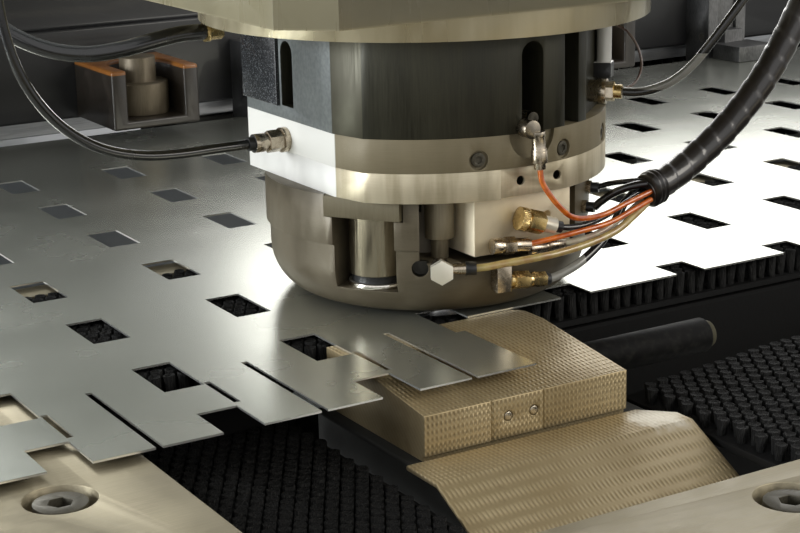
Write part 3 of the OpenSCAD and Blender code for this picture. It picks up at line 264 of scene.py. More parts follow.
tube_rows = [
    ("orange_tube_upper", 0.0022, orange_tube, "tube_orange", [
        (4, -156, 120.7), (5.5, -157, 110), (12, -158.5, 99), (22, -158, 88), (34, -156, 79),
        (50, -153, 75), (70, -150.5, 75), (92, -149, 80), (118, -147.5, 86)]),
    ("orange_tube_lower", 0.0022, orange_tube, "tube_orange", [
        (3.8, -141.3, 58.8), (13, -145, 60.5), (27, -148.5, 62.5), (46, -151.5, 65),
        (72, -153, 68), (96, -151, 74), (118, -147.5, 79.5)]),
    ("amber_tube", 0.003, amber_tube, "tube_orange", [
        (-39.6, -133.4, 44.8), (-31, -138.5, 45.8), (-20, -144.5, 48), (-5, -149.5, 49.5),
        (23, -154, 51.5), (54, -155, 55.5), (80, -153, 61), (100, -148, 68.5),
        (118, -142.5, 75.5)]),
    ("clear_tube", 0.0025, clear_tube, "tube_orange", [
        (39, -138.5, 54), (51, -142, 55), (68, -145.5, 59), (86, -144.5, 65.5),
        (103, -140.5, 71), (118, -136, 76.8)]),
    ("sleeved_tube", 0.0035, sleeved_tube, "hose_black", [
        (22.1, -142.6, 28.3), (33, -144, 31), (52, -145, 38.5), (74, -141, 50), (92, -135, 63),
        (105, -131, 76), (118, -131.5, 85.5)]),
    ("black_tube_elbow", 0.0025, black_tube, "hose_black", [
        (31.9, -144.7, 68.9), (40, -146, 67.8), (54, -146.3, 67.8), (74, -144, 71),
        (98, -142, 78.5), (118, -141, 85)]),
    ("black_tube_thick", 0.0032, black_tube, "hose_black", [
        (86.7, -115, 71), (90, -119, 76), (98, -128, 84.5), (108, -137.5, 90),
        (118, -143, 91.5)]),
    ("black_tube_thin", 0.0022, black_tube, "hose_black", [
        (96.8, -103.9, 84), (104, -113, 88), (110, -125, 91), (118, -136.5, 93)])]
for name, radius, material, slot, points in tube_rows:
    hose(name, points, radius, material, slot, "head_tubes")


# Sleeve. Tape is wound round the tubes in turns that overlap, so each turn ends in a low slanting
# step. A tie of the same tape is knotted round its mouth.
def wrapped(name, line, sides, reach):
    """A closed tube along a line, whose radius at a distance and an angle is reach(s, angle)."""
    rims, walked = [], 0.0
    side = Vector((0.35, 0.9, 0.2))
    for i, point in enumerate(line):
        ahead = (line[min(i + 1, len(line) - 1)] - line[max(i - 1, 0)]).normalized()
        side = (side - ahead * side.dot(ahead)).normalized()
        walked += (point - line[max(i - 1, 0)]).length
        rims.append((point, side.copy(), ahead.cross(side), walked))
    shape = bmesh.new()
    bmesh.ops.create_grid(shape, x_segments=len(line) - 1, y_segments=sides, size=0.5)
    for vert in shape.verts:
        point, side, up, walked = rims[round((vert.co.x + 0.5) * (len(line) - 1))]
        angle = (vert.co.y + 0.5) * 2 * math.pi
        vert.co = point + (side * math.cos(angle) + up * math.sin(angle)) * reach(walked, angle)
    bmesh.ops.remove_doubles(shape, verts=shape.verts, dist=0.00001)
    bmesh.ops.holes_fill(shape, edges=[e for e in shape.edges if e.is_boundary], sides=0)
    bmesh.ops.recalc_face_normals(shape, faces=shape.faces)
    mesh = bpy.data.meshes.new(name)
    shape.to_mesh(mesh)
    shape.free()
    for polygon in mesh.polygons:
        polygon.use_smooth = len(polygon.vertices) == 4
    return bpy.data.objects.new(name, mesh)


bundle_radius, tape_pitch = 0.012, 0.0171
bundle_route = [
    (118, -140, 84), (142, -139, 91), (172, -138, 106), (205, -142, 132), (236, -147, 168),
    (264, -150, 212), (290, -148, 255), (312, -145, 298), (325, -140, 342), (323, -134, 377),
    (305, -128, 408), (274, -125, 428), (248, -124, 434), (226, -124, 434)]
bundle_line = smooth_line(route(bundle_route), 27)


def tape_turn(walked, angle):
    return bundle_radius * (0.935 + 0.065 * ((walked / tape_pitch + angle / (2 * math.pi)) % 1.0))


tie_length, tie_pitch, tie_edge = 0.0132, 0.0042, 0.0015


def tie_lump(walked, angle):
    turns = math.sin(walked * 2 * math.pi / tie_pitch + angle)
    knot = max(0.0, math.cos(angle - 2.2)) ** 3
    ends = min(1.0, walked / tie_edge, (tie_length - walked) / tie_edge)
    return bundle_radius + (0.0018 + 0.0007 * turns + 0.003 * knot) * max(0.0, ends)


tie_start, tie_ahead = bundle_line[2], (bundle_line[3] - bundle_line[2]).normalized()
tie_line = [tie_start + tie_ahead * (tie_length * k / 24) for k in range(25)]
bundle_tie = wrapped("bundle_tie", tie_line, 32, tie_lump)
bundle_tie.data.materials.append(tape_black)
bpy.context.scene.collection.objects.link(bundle_tie)
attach(bundle_tie, "frame")
bundle_sleeve = wrapped("bundle_sleeve", bundle_line, 28, tape_turn)
bundle_sleeve.data.materials.append(tape_black)
declared(bundle_sleeve, bundle_line, bundle_radius, "hose_black", "hose_bundle",
         path=bundle_line, with_pieces=[bundle_tie])


# Studio. A pale floor with soft lamps above it. The background and what metal mirrors are white,
# and the floor keeps the machine's shadow.
def on_stage(name, made):
    piece = bpy.data.objects.new(name, made)
    bpy.context.scene.collection.objects.link(piece)
    piece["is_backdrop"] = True
    return piece


floor_size = 30.0
floor_mesh = bpy.data.meshes.new("studio_floor")
flat = bmesh.new()
bmesh.ops.create_grid(flat, x_segments=1, y_segments=1, size=floor_size / 2)
bmesh.ops.translate(flat, verts=flat.verts, vec=(0, 0, -0.001))
flat.to_mesh(floor_mesh)
flat.free()
floor_paint, floor_sockets, floor_place = finish("studio_floor", (0.78, 0.78, 0.77), 0.7)
feed(floor_sockets, Base_Color=floor_place.grain(0.6, 3).tint((0.76, 0.76, 0.75), (0.8, 0.8, 0.79)))
floor_mesh.materials.append(floor_paint)
on_stage("studio_floor", floor_mesh)

world = bpy.data.worlds.new("studio")
world.use_nodes = True
bpy.context.scene.world = world
world_light = world.node_tree.nodes["Background"]
rays = world.node_tree.nodes.new("ShaderNodeLightPath").outputs
seen = sum(Wire(world.node_tree, rays[kind])
           for kind in ("Is Camera Ray", "Is Glossy Ray", "Is Transmission Ray"))
ambient, backdrop = 0.42, 1.0
lit = seen.math("MINIMUM", seen, 1.0) * (backdrop - ambient) + ambient
world.node_tree.links.new(lit.socket, world_light.inputs["Strength"])
world_light.inputs["Color"].default_value = (1.0, 1.0, 1.0, 1.0)


def lamp(name, place, target, size, watts, colour=(1.0, 1.0, 1.0)):
    """A square soft lamp that looks at a target."""
    data = bpy.data.lights.new(name, "AREA")
    data.size = size
    data.energy = watts
    data.color = colour
    piece = bpy.data.objects.new(name, data)
    bpy.context.scene.collection.objects.link(piece)
    piece.location = place
    piece.rotation_mode = "QUATERNION"
    piece.rotation_quaternion = (Vector(target) - Vector(place)).to_track_quat("-Z", "Y")


head_middle = (0.0, 0.0, pass_line + 0.1)
sheet_right, sheet_left = (0.6, 0.4, pass_line), (-0.6, -0.2, pass_line)
lamp("key_lamp", (1.6, -2.6, 2.6), head_middle, 1.6, 52, (1.0, 0.95, 0.85))
lamp("left_window", (-3.0, 0.7, 1.5), head_middle, 1.0, 80, (0.93, 0.97, 1.0))
lamp("right_glare", (2.5, 3.4, 1.85), sheet_right, 1.9, 42, (1.0, 0.99, 0.95))
lamp("left_glare", (-0.3, 3.9, 3.2), sheet_left, 1.4, 85, (0.99, 1.0, 0.96))
bpy.context.scene.view_settings.view_transform = "Standard"


# Frame. A welded steel C with recessed webs, painted light grey with the fine orange peel of a
# sprayed machine coat. Its edges are ground before painting.
def edged(name, width, segments=2, angle=30.0):
    """Rounds a CAD node's edges: its triangles are joined, flat faces merged, then bevelled."""
    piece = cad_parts[name]
    for polygon in piece.data.polygons:
        polygon.use_smooth = True
    weld = piece.modifiers.new("weld", "WELD")
    weld.merge_threshold = 0.00001
    merge = piece.modifiers.new("merge", "DECIMATE")
    merge.decimate_type = "DISSOLVE"
    merge.angle_limit = math.radians(0.5)
    bevel = piece.modifiers.new("bevel", "BEVEL")
    bevel.width = width
    bevel.segments = segments
    bevel.angle_limit = math.radians(angle)
    bevel.harden_normals = True


def dress(material, *names):
    for name in names:
        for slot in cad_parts[name].material_slots:
            slot.material = material


def sprayed_paint(name, colour, roughness=0.38, peel=0.0025, wear=0.0, coat=0.15):
    material, sockets, place = finish(name, colour, roughness, coat=coat)
    sockets["Specular IOR Level"].default_value = 0.15 + 2 * coat
    cloud = place.grain(0.35, 5).step(0.3, 0.75)
    smudge = place.grain(0.05, 4).step(0.5, 0.8)
    darker = tuple(0.9 * c for c in colour)
    base = cloud.tint(darker, colour)
    grime = place.grain(0.012, 5, (1, 1, 0.4)).step(0.62, 0.8)
    base = (grime * (0.18 + wear)).tint(base, tuple(0.45 * c for c in colour))
    feed(sockets, Base_Color=base, Roughness=smudge * 0.14 + roughness,
         Normal=place.grain(peel, 1).relief(0.0002, 0.5))
    return material


frame_paint = sprayed_paint("frame_paint", (0.62, 0.63, 0.62))
edged("c_frame", 0.006, 3)
dress(frame_paint, "c_frame")

# Covers. Folded sheet-metal panels on the upper arm's sides and nose, powder coated, with louvres
# that let the valves' warmth out.
cover_paint = sprayed_paint("cover_paint", (0.72, 0.73, 0.72), 0.42, 0.0018)
nose_paint = sprayed_paint("nose_paint", (0.06, 0.10, 0.16), 0.35, 0.0018)
for cover in ("side_cover_left", "side_cover_right"):
    edged(cover, 0.002)
edged("nose_cover", 0.005, 3)
dress(cover_paint, "side_cover_left", "side_cover_right")
dress(nose_paint, "nose_cover")

# Cylinder and ring motor. The ram's hydraulic cylinder is bolted on top of the arm, and the motor
# that turns the tool sits in the housing under it.
iron_paint = sprayed_paint("iron_paint", (0.022, 0.022, 0.02), 0.6, 0.004, 0.1, 0.0)
edged("ram_cylinder", 0.002)
dress(iron_paint, "ram_cylinder", "index_stator")

# Housing. A casting with a turned flange, in light beige-grey, lighter and partly metallic
# along its lower band.
band_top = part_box("head_housing")[0].z + 0.018
housing_paint, sockets, place = finish("housing_paint", (0.5, 0.48, 0.43), 0.34, coat=0.2)
band = 1 - place.axis("Z").step(band_top, band_top + 0.003)
streaks = place.grain(0.03, 4, (1, 1, 0.1)).step(0.35, 0.7)
base = place.grain(0.08, 4).tint((0.225, 0.20, 0.125), (0.29, 0.26, 0.165))
base = band.tint(base, streaks.tint((0.44, 0.385, 0.25), (0.56, 0.50, 0.345)))
feed(sockets, Base_Color=base, Roughness=streaks * 0.12 + 0.26, Metallic=band * 0.55,
     Normal=place.grain(0.0016, 2).relief(0.00008, 0.5))
edged("head_housing", 0.0025, 3)
dress(housing_paint, "head_housing")


# Head block. A blackened steel block, ground on its facets, so fine upright lines show in it. Its
# left flat is painted pale bluish grey, a painted highlight where the left lamp falls on it, and
# the next flat is painted a little lighter and brown, also painted light. The plate on it has dark
# hammer paint.
def ground_steel(name, colour, light, roughness, lines, metallic=0.85, size=0.0012):
    """Steel ground along the lines' longest direction, with faint clouds of oil."""
    material, sockets, place = finish(name, colour, roughness, metallic)
    scratch = place.grain(size, 3, lines).step(0.3, 0.7)
    oil = place.grain(0.04, 5).step(0.4, 0.75)
    base = (scratch * 0.6 + oil * 0.4).tint(colour, light)
    feed(sockets, Base_Color=base, Roughness=scratch * 0.12 + oil * 0.14 + roughness,
         Normal=scratch.relief(0.00003, 0.5))
    return material


block_steel, sockets, place = finish("block_steel", (0.04, 0.036, 0.03), 0.42, 0.5)
scratch = place.grain(0.0012, 3, (1, 1, 0.05)).step(0.3, 0.7)
sweep = place.grain(0.02, 3, (1, 1, 0.08)).step(0.35, 0.7)
base = (scratch * 0.4 + sweep * 0.6).tint((0.024, 0.023, 0.015), (0.046, 0.044, 0.028))
flat_x, second_flat_x, second_flat_y, crisp = -0.1215, -0.1136, -0.0617, 0.0004
# Painted highlight: the left flat and the next flat are tinted lighter where the left lamp falls.
lit_left_flat = 1 - place.axis("X").step(flat_x, flat_x + crisp)
ahead = 1 - place.axis("Y").step(second_flat_y - crisp, second_flat_y)
lit_second_flat = ahead * (1 - place.axis("X").step(second_flat_x, second_flat_x + crisp))
flat_glare_mottle = place.grain(0.0035, 4).step(0.3, 0.7)
base = lit_left_flat.tint(base, flat_glare_mottle.tint((0.15, 0.165, 0.165), (0.20, 0.215, 0.21)))
base = lit_second_flat.tint(base, (0.062, 0.058, 0.038))
feed(sockets, Base_Color=base, Roughness=scratch * 0.1 + sweep * 0.08 + 0.36,
     Normal=scratch.relief(0.00002, 0.4))
edged("head_block", 0.0008)
dress(block_steel, "head_block")
hammer, sockets, place = finish("hammer_paint", (0.05, 0.055, 0.06), 0.3, coat=0.3)
cells = place.node("TexVoronoi", {"feature": "SMOOTH_F1"}, {"Vector": place, "Scale": 480.0})
speckle = place.grain(0.0011, 3).step(0.56, 0.72)
feed(sockets, Base_Color=speckle.tint((0.02, 0.022, 0.025), (0.17, 0.185, 0.20)),
     Roughness=speckle * 0.25 + 0.25, Normal=(cells + speckle * 0.3).relief(0.0004, 0.6))
edged("block_plate", 0.0008)
dress(hammer, "block_plate")


# Rings. A matte tan aluminium mount ring with counterbored screws, and under it the bright clamp
# ring, both turned. The brushing of the clamp ring runs up and down its side.
def near(place, spots, inner, outer):
    """1 within a distance of any of the spots, and 0 beyond the outer one, in metres."""
    total = 0
    for spot in route(spots):
        gap = place.node("VectorMath", {"operation": "DISTANCE"}, {0: place, 1: spot}, "Value")
        total = (1 - gap.step(inner, outer)) + total
    return total


def round_ground(name, dark, light, roughness, metallic, upright, flat=None, shaded_holes=()):
    """Turned metal about the punch axis: fine lines round it, and soft bands up its side. The
    left flat, which is milled, may be painted a pale colour of its own as a painted highlight, and
    screw holes are painted near black inside as painted shade."""
    material, sockets, place = finish(name, light, roughness, metallic)
    across, deep = place.axis("X"), place.axis("Y")
    around = place.math("ARCTAN2", deep, across)
    far = place.math("SQRT", across * across + deep * deep)
    spot = place.node("CombineXYZ", {}, {"X": far, "Y": place.axis("Z"), "Z": around * 0.012})
    turned = spot.grain(0.0006, 2, (1, 1, 0.4)).step(0.3, 0.7)
    sweep = place.node("CombineXYZ", {}, {"X": around, "Y": place.axis("Z") * 0.8, "Z": 0.0})
    bands = sweep.grain(0.11, 4).step(0.34, 0.66)
    mark = bands * upright + turned * (1 - upright)
    base = mark.tint(dark, light)
    # Painted shade: the screw holes are tinted near black inside.
    if shaded_holes:
        base = near(place, shaded_holes, 0.0068, 0.0074).tint(base, (0.02, 0.018, 0.012))
    # Painted highlight: the left flat gets a near-white colour of its own.
    if flat:
        lit_milled_flat = 1 - place.axis("X").step(flat_x, flat_x + crisp)
        base = lit_milled_flat.tint(base, flat)
    feed(sockets, Base_Color=base, Roughness=mark * -0.06 + roughness,
         Normal=turned.relief(0.000008, 0.25))
    return material


ring_alloy = round_ground("ring_alloy", (0.185, 0.155, 0.092), (0.215, 0.18, 0.11), 0.6, 0.15, 0.6,
                          (0.80, 0.79, 0.74))
ring_steel = round_ground("ring_steel", (0.38, 0.325, 0.215), (0.62, 0.55, 0.40), 0.45, 0.4, 0.88,
                          (0.90, 0.89, 0.85), [(-4, -134, 110), (30, -134, 110)])
edged("mount_ring", 0.0006)
edged("clamp_ring", 0.0006)
dress(ring_alloy, "mount_ring")
dress(ring_steel, "clamp_ring")

# Bowl. The hold-down housing is turned from steel and satin with oil, brown where it has been
# handled. Its top just under the clamp ring is painted darker as a painted shadow, and its tapped
# hole is painted near black inside as painted shade.
bowl_steel, sockets, place = finish("bowl_steel", (0.14, 0.12, 0.08), 0.42, 0.3)
smear = place.grain(0.03, 5, (1, 1, 0.6)).step(0.35, 0.7)
lathe = place.grain(0.0009, 2, (0.08, 0.08, 1)).step(0.3, 0.7)
height = place.axis("Z") - pass_line
shade_low, shade_high = 0.084, 0.099
# Painted shadow: the bowl is darker just under the clamp ring.
ring_shadow = height.step(shade_low, shade_high)
base = (smear * 0.8 + lathe * 0.2).tint((0.10, 0.082, 0.052), (0.145, 0.122, 0.082))
base = (ring_shadow * 0.55).tint(base, (0.06, 0.05, 0.03))
# Painted shade: the tapped hole is tinted near black inside.
tapped_hole = (-71, -103.3, 44)
base = near(place, [tapped_hole], 0.0078, 0.0084).tint(base, (0.02, 0.018, 0.012))
feed(sockets, Base_Color=base, Roughness=smear * 0.1 + lathe * 0.04 + 0.38,
     Normal=lathe.relief(0.000012, 0.4))
edged("holddown_bowl", 0.0012)
dress(bowl_steel, "holddown_bowl")


# Guide column. A satin-ground steel bar, clamped in a tan block, with a bright foot ring and a
# black seal groove above it, and a plain stepped pin beside it.
column_finish, sockets, place = finish("column_chrome", (0.55, 0.51, 0.43), 0.1, 1.0)
height = place.axis("Z") - pass_line
block_foot, seal_foot, seal_top = 0.082, 0.028, 0.034
block_part = height.step(block_foot - 0.0003, block_foot)
above_foot = height.step(seal_foot - 0.0001, seal_foot + 0.0001)
seal = above_foot * (1 - height.step(seal_top - 0.0001, seal_top + 0.0001))
ground = place.grain(0.0014, 3, (1, 1, 0.08)).step(0.3, 0.7)
bare = ground.tint((0.30, 0.265, 0.195), (0.34, 0.30, 0.225))
base = block_part.tint(bare, ground.tint((0.125, 0.105, 0.06), (0.145, 0.122, 0.072)))
foot = 1 - above_foot
base = foot.tint(base, (0.78, 0.75, 0.68))
feed(sockets, Base_Color=seal.tint(base, (0.01, 0.01, 0.01)),
     Metallic=1 - block_part * 0.8 - seal * 0.9,
     Roughness=block_part * 0.3 + seal * 0.2 - foot * 0.15 + 0.27,
     Normal=ground.relief(0.00001, 0.3))
pin_steel = ground_steel("pin_steel", (0.20, 0.17, 0.115), (0.28, 0.245, 0.175), 0.4,
                         (1, 1, 0.05), 0.6)
edged("guide_column", 0.0008)
edged("guide_pin", 0.0006)
dress(column_finish, "guide_column")
dress(pin_steel, "guide_pin")

# Manifold. A milled alloy block in beige grey that shares air and oil out to the head.
milled_alloy, sockets, place = finish("milled_alloy", (0.60, 0.56, 0.48), 0.42, 0.35)
mill = place.grain(0.0012, 3, (0.1, 1, 1)).step(0.3, 0.7)
stain = place.grain(0.02, 4).step(0.35, 0.8)
feed(sockets, Base_Color=stain.tint((0.80, 0.705, 0.52), (0.70, 0.61, 0.44)),
     Roughness=mill * 0.1 + 0.42, Normal=mill.relief(0.00002, 0.4))
edged("manifold", 0.004, 3)
dress(milled_alloy, "manifold")

# Fittings. Turned from brass bar and mostly nickel plated. The knurled elbow and the pair under
# the bowl's tube are bare brass, and the tubes' collets are black plastic.
def along(place, start, direction, low, high, reach=11.0):
    """1 on the stretch of a fitting between two distances along its axis, in millimetres."""
    origin = route([start])[0]
    offset = place.node("VectorMath", {"operation": "SUBTRACT"}, {0: place, 1: origin})
    walked = offset.node("VectorMath", {"operation": "DOT_PRODUCT"}, {0: offset, 1: direction},
                         "Value")
    heading = offset.node("VectorMath", {"operation": "SCALE"}, {0: direction, "Scale": walked})
    aside = offset.node("VectorMath", {"operation": "DISTANCE"}, {0: offset, 1: heading}, "Value")
    inside = walked.step(low / 1000 - 0.0002, low / 1000)
    inside = inside * (1 - walked.step(high / 1000, high / 1000 + 0.0002))
    return inside * (1 - aside.step(reach / 1000, reach / 1000 + 0.0004))


def stretches(place, rows):
    """1 on any of several stretches, each given as along() takes it."""
    return sum(along(place, *row) for row in rows)


fitting_metal, sockets, place = finish("fitting_metal", (0.62, 0.575, 0.49), 0.2, 1.0)
elbow, elbow_way = (-4, -139, 80), (0.944, -0.150, -0.292)
pair, pair_way = (-12.5, -139, 32), (0.989, -0.104, -0.1045)
banjo, banjo_way = (-60.9, -116.0, 44.8), (-0.4648, -0.8854, 0.0)
stub, stub_way = (-63.5, -120.9, 44.8), (0.8854, -0.4648, 0.0)
air_end, air_way = (-122, 15, 131), (-1.0, 0.0, 0.0)
feed_end, feed_way = (-168, 60, 216), (1.0, 0.0, 0.0)
cable_end, cable_way = (88.7, -104.5, 164), (0.669, -0.743, 0.0)
low_collet, low_way = (80.6, -107.0, 71), (0.602, -0.799, 0.0)
high_collet, high_way = (91.4, -98.0, 84), (0.682, -0.731, 0.0)
brass = stretches(place, [(elbow, elbow_way, 0, 21), (pair, pair_way, 0, 31),
                          (cable_end, cable_way, 20, 27), (feed_end, feed_way, 0, 16)])
beige = stretches(place, [(elbow, elbow_way, 21, 32, 7), (banjo, banjo_way, 10.8, 18, 11.5)])
black = stretches(place, [(elbow, elbow_way, 32, 39, 6), (pair, pair_way, 31, 36, 6),
                          (stub, stub_way, 19, 28, 7), (air_end, air_way, 28, 35, 7),
                          (low_collet, low_way, 4, 11, 6), (high_collet, high_way, 4, 11, 6)])
tarnish = place.grain(0.004, 4).step(0.4, 0.75)
base = tarnish.tint((0.50, 0.435, 0.34), (0.38, 0.32, 0.24))
base = brass.tint(base, tarnish.tint((0.62, 0.47, 0.22), (0.52, 0.37, 0.15)))
base = beige.tint(base, (0.78, 0.74, 0.62))
base = black.tint(base, (0.012, 0.012, 0.012))
slot_rod, slot_banjo, knurl_pitch = (4, -150, 158), (-4, -158, 151.6), 0.0011
# Painted shade: the rod and the banjo down in the block's slot are tinted darker.
base = near(place, [slot_rod], 0.0068, 0.0072).tint(base, (0.05, 0.045, 0.035))
base = near(place, [slot_banjo], 0.0068, 0.0072).tint(base, (0.24, 0.21, 0.165))
ridges = place.math("SINE", place.axis("Z") * (2 * math.pi / knurl_pitch)) * 0.5 + 0.5
knurl = ridges * along(place, elbow, elbow_way, 0.3, 5.7)
feed(sockets, Base_Color=base, Metallic=1 - black - beige * 0.45,
     Roughness=tarnish * 0.1 + black * 0.1 + beige * 0.15 + 0.24, Normal=knurl.relief(0.0003, 0.8))
edged("head_fittings", 0.0004, 2, 35)
dress(fitting_metal, "head_fittings", "hose_glands")

# Sensor. A white barrel in a black clip, screwed to the block, with a thin brown lead.
sensor_finish, sockets, place = finish("sensor_white", (0.80, 0.80, 0.76), 0.3, coat=0.3)
clip_top = pass_line + 0.184
clip = 1 - place.axis("Z").step(clip_top - 0.0002, clip_top)
base = place.grain(0.01, 3).tint((0.74, 0.74, 0.70), (0.83, 0.83, 0.79))
feed(sockets, Base_Color=clip.tint(base, (0.02, 0.02, 0.02)), Roughness=clip * 0.15 + 0.28,
     Normal=place.grain(0.002).relief(0.00002, 0.4))
edged("position_sensor", 0.0008)
dress(sensor_finish, "position_sensor")
lead_route = [(117, -99, 214), (124, -107, 208), (129, -114, 196), (130, -118, 184),
              (126, -120, 174), (118, -122, 168), (109, -122, 166)]
hose("sensor_lead", lead_route, 0.0011, lead_brown, "cable_grey")

# Ring screws. Socket head screws of dark steel, each sunk in a counterbore of the mount ring. The
# same steel serves for the bolts of the table plate.
black_screw = ground_steel("black_screw", (0.05, 0.045, 0.032), (0.10, 0.09, 0.065), 0.4,
                           (1, 1, 1), 0.5)
edged("ring_screws", 0.0003)
dress(black_screw, "ring_screws")


# Tooling. The sleeve, the ram and the punch run inside the head; the stripper, the die and its
# holder are ground tool steel, and the ram is chromed.
def polished(name, colour, roughness=0.08):
    material, sockets, place = finish(name, colour, roughness, 1.0)
    wipe = place.grain(0.012, 4, (1, 1, 0.25)).step(0.45, 0.75)
    feed(sockets, Base_Color=wipe.tint(colour, tuple(0.8 * c for c in colour)),
         Roughness=wipe * 0.1 + roughness, Normal=place.grain(0.0009).relief(0.00001, 0.3))
    return material


chrome = polished("chrome", (0.66, 0.63, 0.57))
tool_steel = round_ground("tool_steel", (0.30, 0.30, 0.30), (0.55, 0.55, 0.54), 0.3, 0.9, 0.2)
for name in ("spindle_sleeve", "punch", "stripper_plate", "die_holder", "die"):
    edged(name, 0.0005)
    dress(tool_steel, name)
edged("ram", 0.001)
dress(chrome, "ram")

# Pedestal and console. Dark painted iron on the lower arm, which carries the die and its covers.
edged("die_pedestal", 0.002)
edged("die_console", 0.003)
dress(iron_paint, "die_pedestal", "die_console")


# Embossed covers. Sheet steel rolled with fine rows of dimples, champagne with old oil, brown in
# patches by the die, painted darker in the dimples' hollows as painted shade, and lighter and
# smoother round one given spot. Nickel screws hold them, their hex sockets painted near black as
# painted shade.
def embossed(name, bright_spot_at, bright_spot_size):
    material, sockets, place = finish(name, (0.46, 0.39, 0.27), 0.42, 0.5)
    column_pitch, row_pitch = 0.0036, 0.0052
    columns = place.math("SINE", place.axis("X") * (2 * math.pi / column_pitch))
    rows = (place.axis("Y") - place.axis("Z")) * (2 * math.pi / row_pitch)
    rows = place.math("SINE", rows)
    dimple = (columns * 0.5 + rows * columns * 0.5) * 0.5 + 0.5
    stain = place.grain(0.05, 5).step(0.4, 0.72)
    brown = place.grain(0.018, 5).step(0.6, 0.8)
    gap = place.node("VectorMath", {"operation": "DISTANCE"}, {0: place, 1: bright_spot_at}, "Value")
    # Lighter and smoother round the given spot.
    bright_spot = 1 - (gap + place.grain(0.01, 4) * 0.03).step(bright_spot_size * 0.6, bright_spot_size)
    base = stain.tint((0.54, 0.435, 0.26), (0.42, 0.33, 0.185))
    base = (brown * 0.35).tint(base, (0.20, 0.13, 0.06))
    # Painted shade: the dimples' hollows are tinted darker.
    base = (dimple * 0.55).tint(base, (0.15, 0.11, 0.05))
    base = bright_spot.tint(base, (0.66, 0.61, 0.50))
    sockets["Specular IOR Level"].default_value = 0.3
    feed(sockets, Base_Color=base, Roughness=stain * 0.1 + 0.42,
         Normal=((1 - bright_spot * 0.7) * dimple * -1.0).relief(0.0007, 1.0))
    return material


die_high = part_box("die_cover")[1]
chute_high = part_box("chute_cover")[1]
edged("die_cover", 0.0012)
edged("chute_cover", 0.0015)
dress(embossed("die_cover_steel", (0.0, 0.0, 0.0), 0.01), "die_cover")
dress(embossed("chute_steel", (chute_high.x - 0.02, chute_high.y - 0.02, chute_high.z), 0.045),
      "chute_cover")
screw_nickel, sockets, place = finish("screw_nickel", (0.55, 0.51, 0.42), 0.28, 1.0)
hex_sockets = [(-90, -253, -29), (-68, -253, -29), (12, -363, -78), (-148, -363, -78)]
# Painted shade: the hex sockets are tinted near black inside.
socket_shade = near(place, hex_sockets, 0.0012, 0.0032)
oiled = place.grain(0.004, 3).step(0.35, 0.7)
base = oiled.tint((0.52, 0.47, 0.38), (0.40, 0.35, 0.27))
feed(sockets, Base_Color=(socket_shade * 0.8).tint(base, (0.03, 0.025, 0.02)),
     Roughness=oiled * 0.12 + 0.26)
edged("cover_screws", 0.0006)
dress(screw_nickel, "cover_screws")

# Guard bar. A steel rod in a matte black rubber sleeve that keeps parts off the die, with a pale
# worn rim at its free end.
bar_rubber, sockets, place = finish("bar_rubber", (0.01, 0.01, 0.01), 0.62)
rim_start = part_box("guard_bar")[1].x - 0.006
rim = place.axis("X").step(rim_start - 0.0002, rim_start)
scuff = place.grain(0.006, 4).step(0.4, 0.8)
feed(sockets, Base_Color=rim.tint(scuff.tint((0.008, 0.008, 0.008), (0.02, 0.02, 0.018)),
                                  (0.085, 0.08, 0.055)),
     Roughness=scuff * 0.1 + 0.55, Normal=scuff.relief(0.0001, 0.4))
sockets["Specular IOR Level"].default_value = 0.05
edged("guard_bar", 0.0015)
dress(bar_rubber, "guard_bar")

# Flap. Black painted plate on a hinge rod, which tips finished parts off to the right. The chute
# under it and the tray of the brushes are folded sheet in the same matte black.
flap_paint = sprayed_paint("flap_paint", (0.006, 0.006, 0.006), 0.6, coat=0.0)
edged("parts_chute", 0.001)
edged("parts_flap", 0.001)
dress(flap_paint, "parts_flap", "brush_tray", "parts_chute")


# Brushes. Black nylon tufts, each a bundle of bristles in its own hole, which carry the sheet
# without a scratch. A high field lies round the die, and a low one beside the chute's cover.
def link(name, body, material, slot, *nodes):
    """Adds the object of a new piece, riding on its body and standing for CAD nodes."""
    piece = bpy.data.objects.new(name, bpy.data.meshes.new(name))
    bpy.context.scene.collection.objects.link(piece)
    piece.data.materials.append(material)
    if nodes:
        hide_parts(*nodes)
    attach(piece, body)
    return piece


def tuft_shape(radius, height, sides=7):
    """One tuft: a bundle that spreads to its top, where the bristles end unevenly."""
    tuft = bmesh.new()
    bmesh.ops.create_cone(tuft, cap_ends=True, segments=sides, radius1=radius * 0.72,
                          radius2=radius, depth=height)
    bmesh.ops.translate(tuft, verts=tuft.verts, vec=(0, 0, -height / 2))
    top = [f for f in tuft.faces if f.normal.z > 0.9]
    bmesh.ops.inset_individual(tuft, faces=top, thickness=radius * 0.35, depth=-height * 0.06)
    floor = [f for f in tuft.faces if f.normal.z < -0.9]
    bmesh.ops.delete(tuft, geom=floor, context="FACES_ONLY")
    mesh = bpy.data.meshes.new("tuft")
    tuft.to_mesh(mesh)
    tuft.free()
    return mesh


def planted(piece, tuft, spots):
    """Fills a piece with one copy of the tuft at each spot."""
    field = bmesh.new()
    for spot in spots:
        copy = tuft.copy()
        copy.transform(spot)
        field.from_mesh(copy)
        bpy.data.meshes.remove(copy)
    field.to_mesh(piece.data)
    field.free()
    for polygon in piece.data.polygons:
        polygon.use_smooth = True


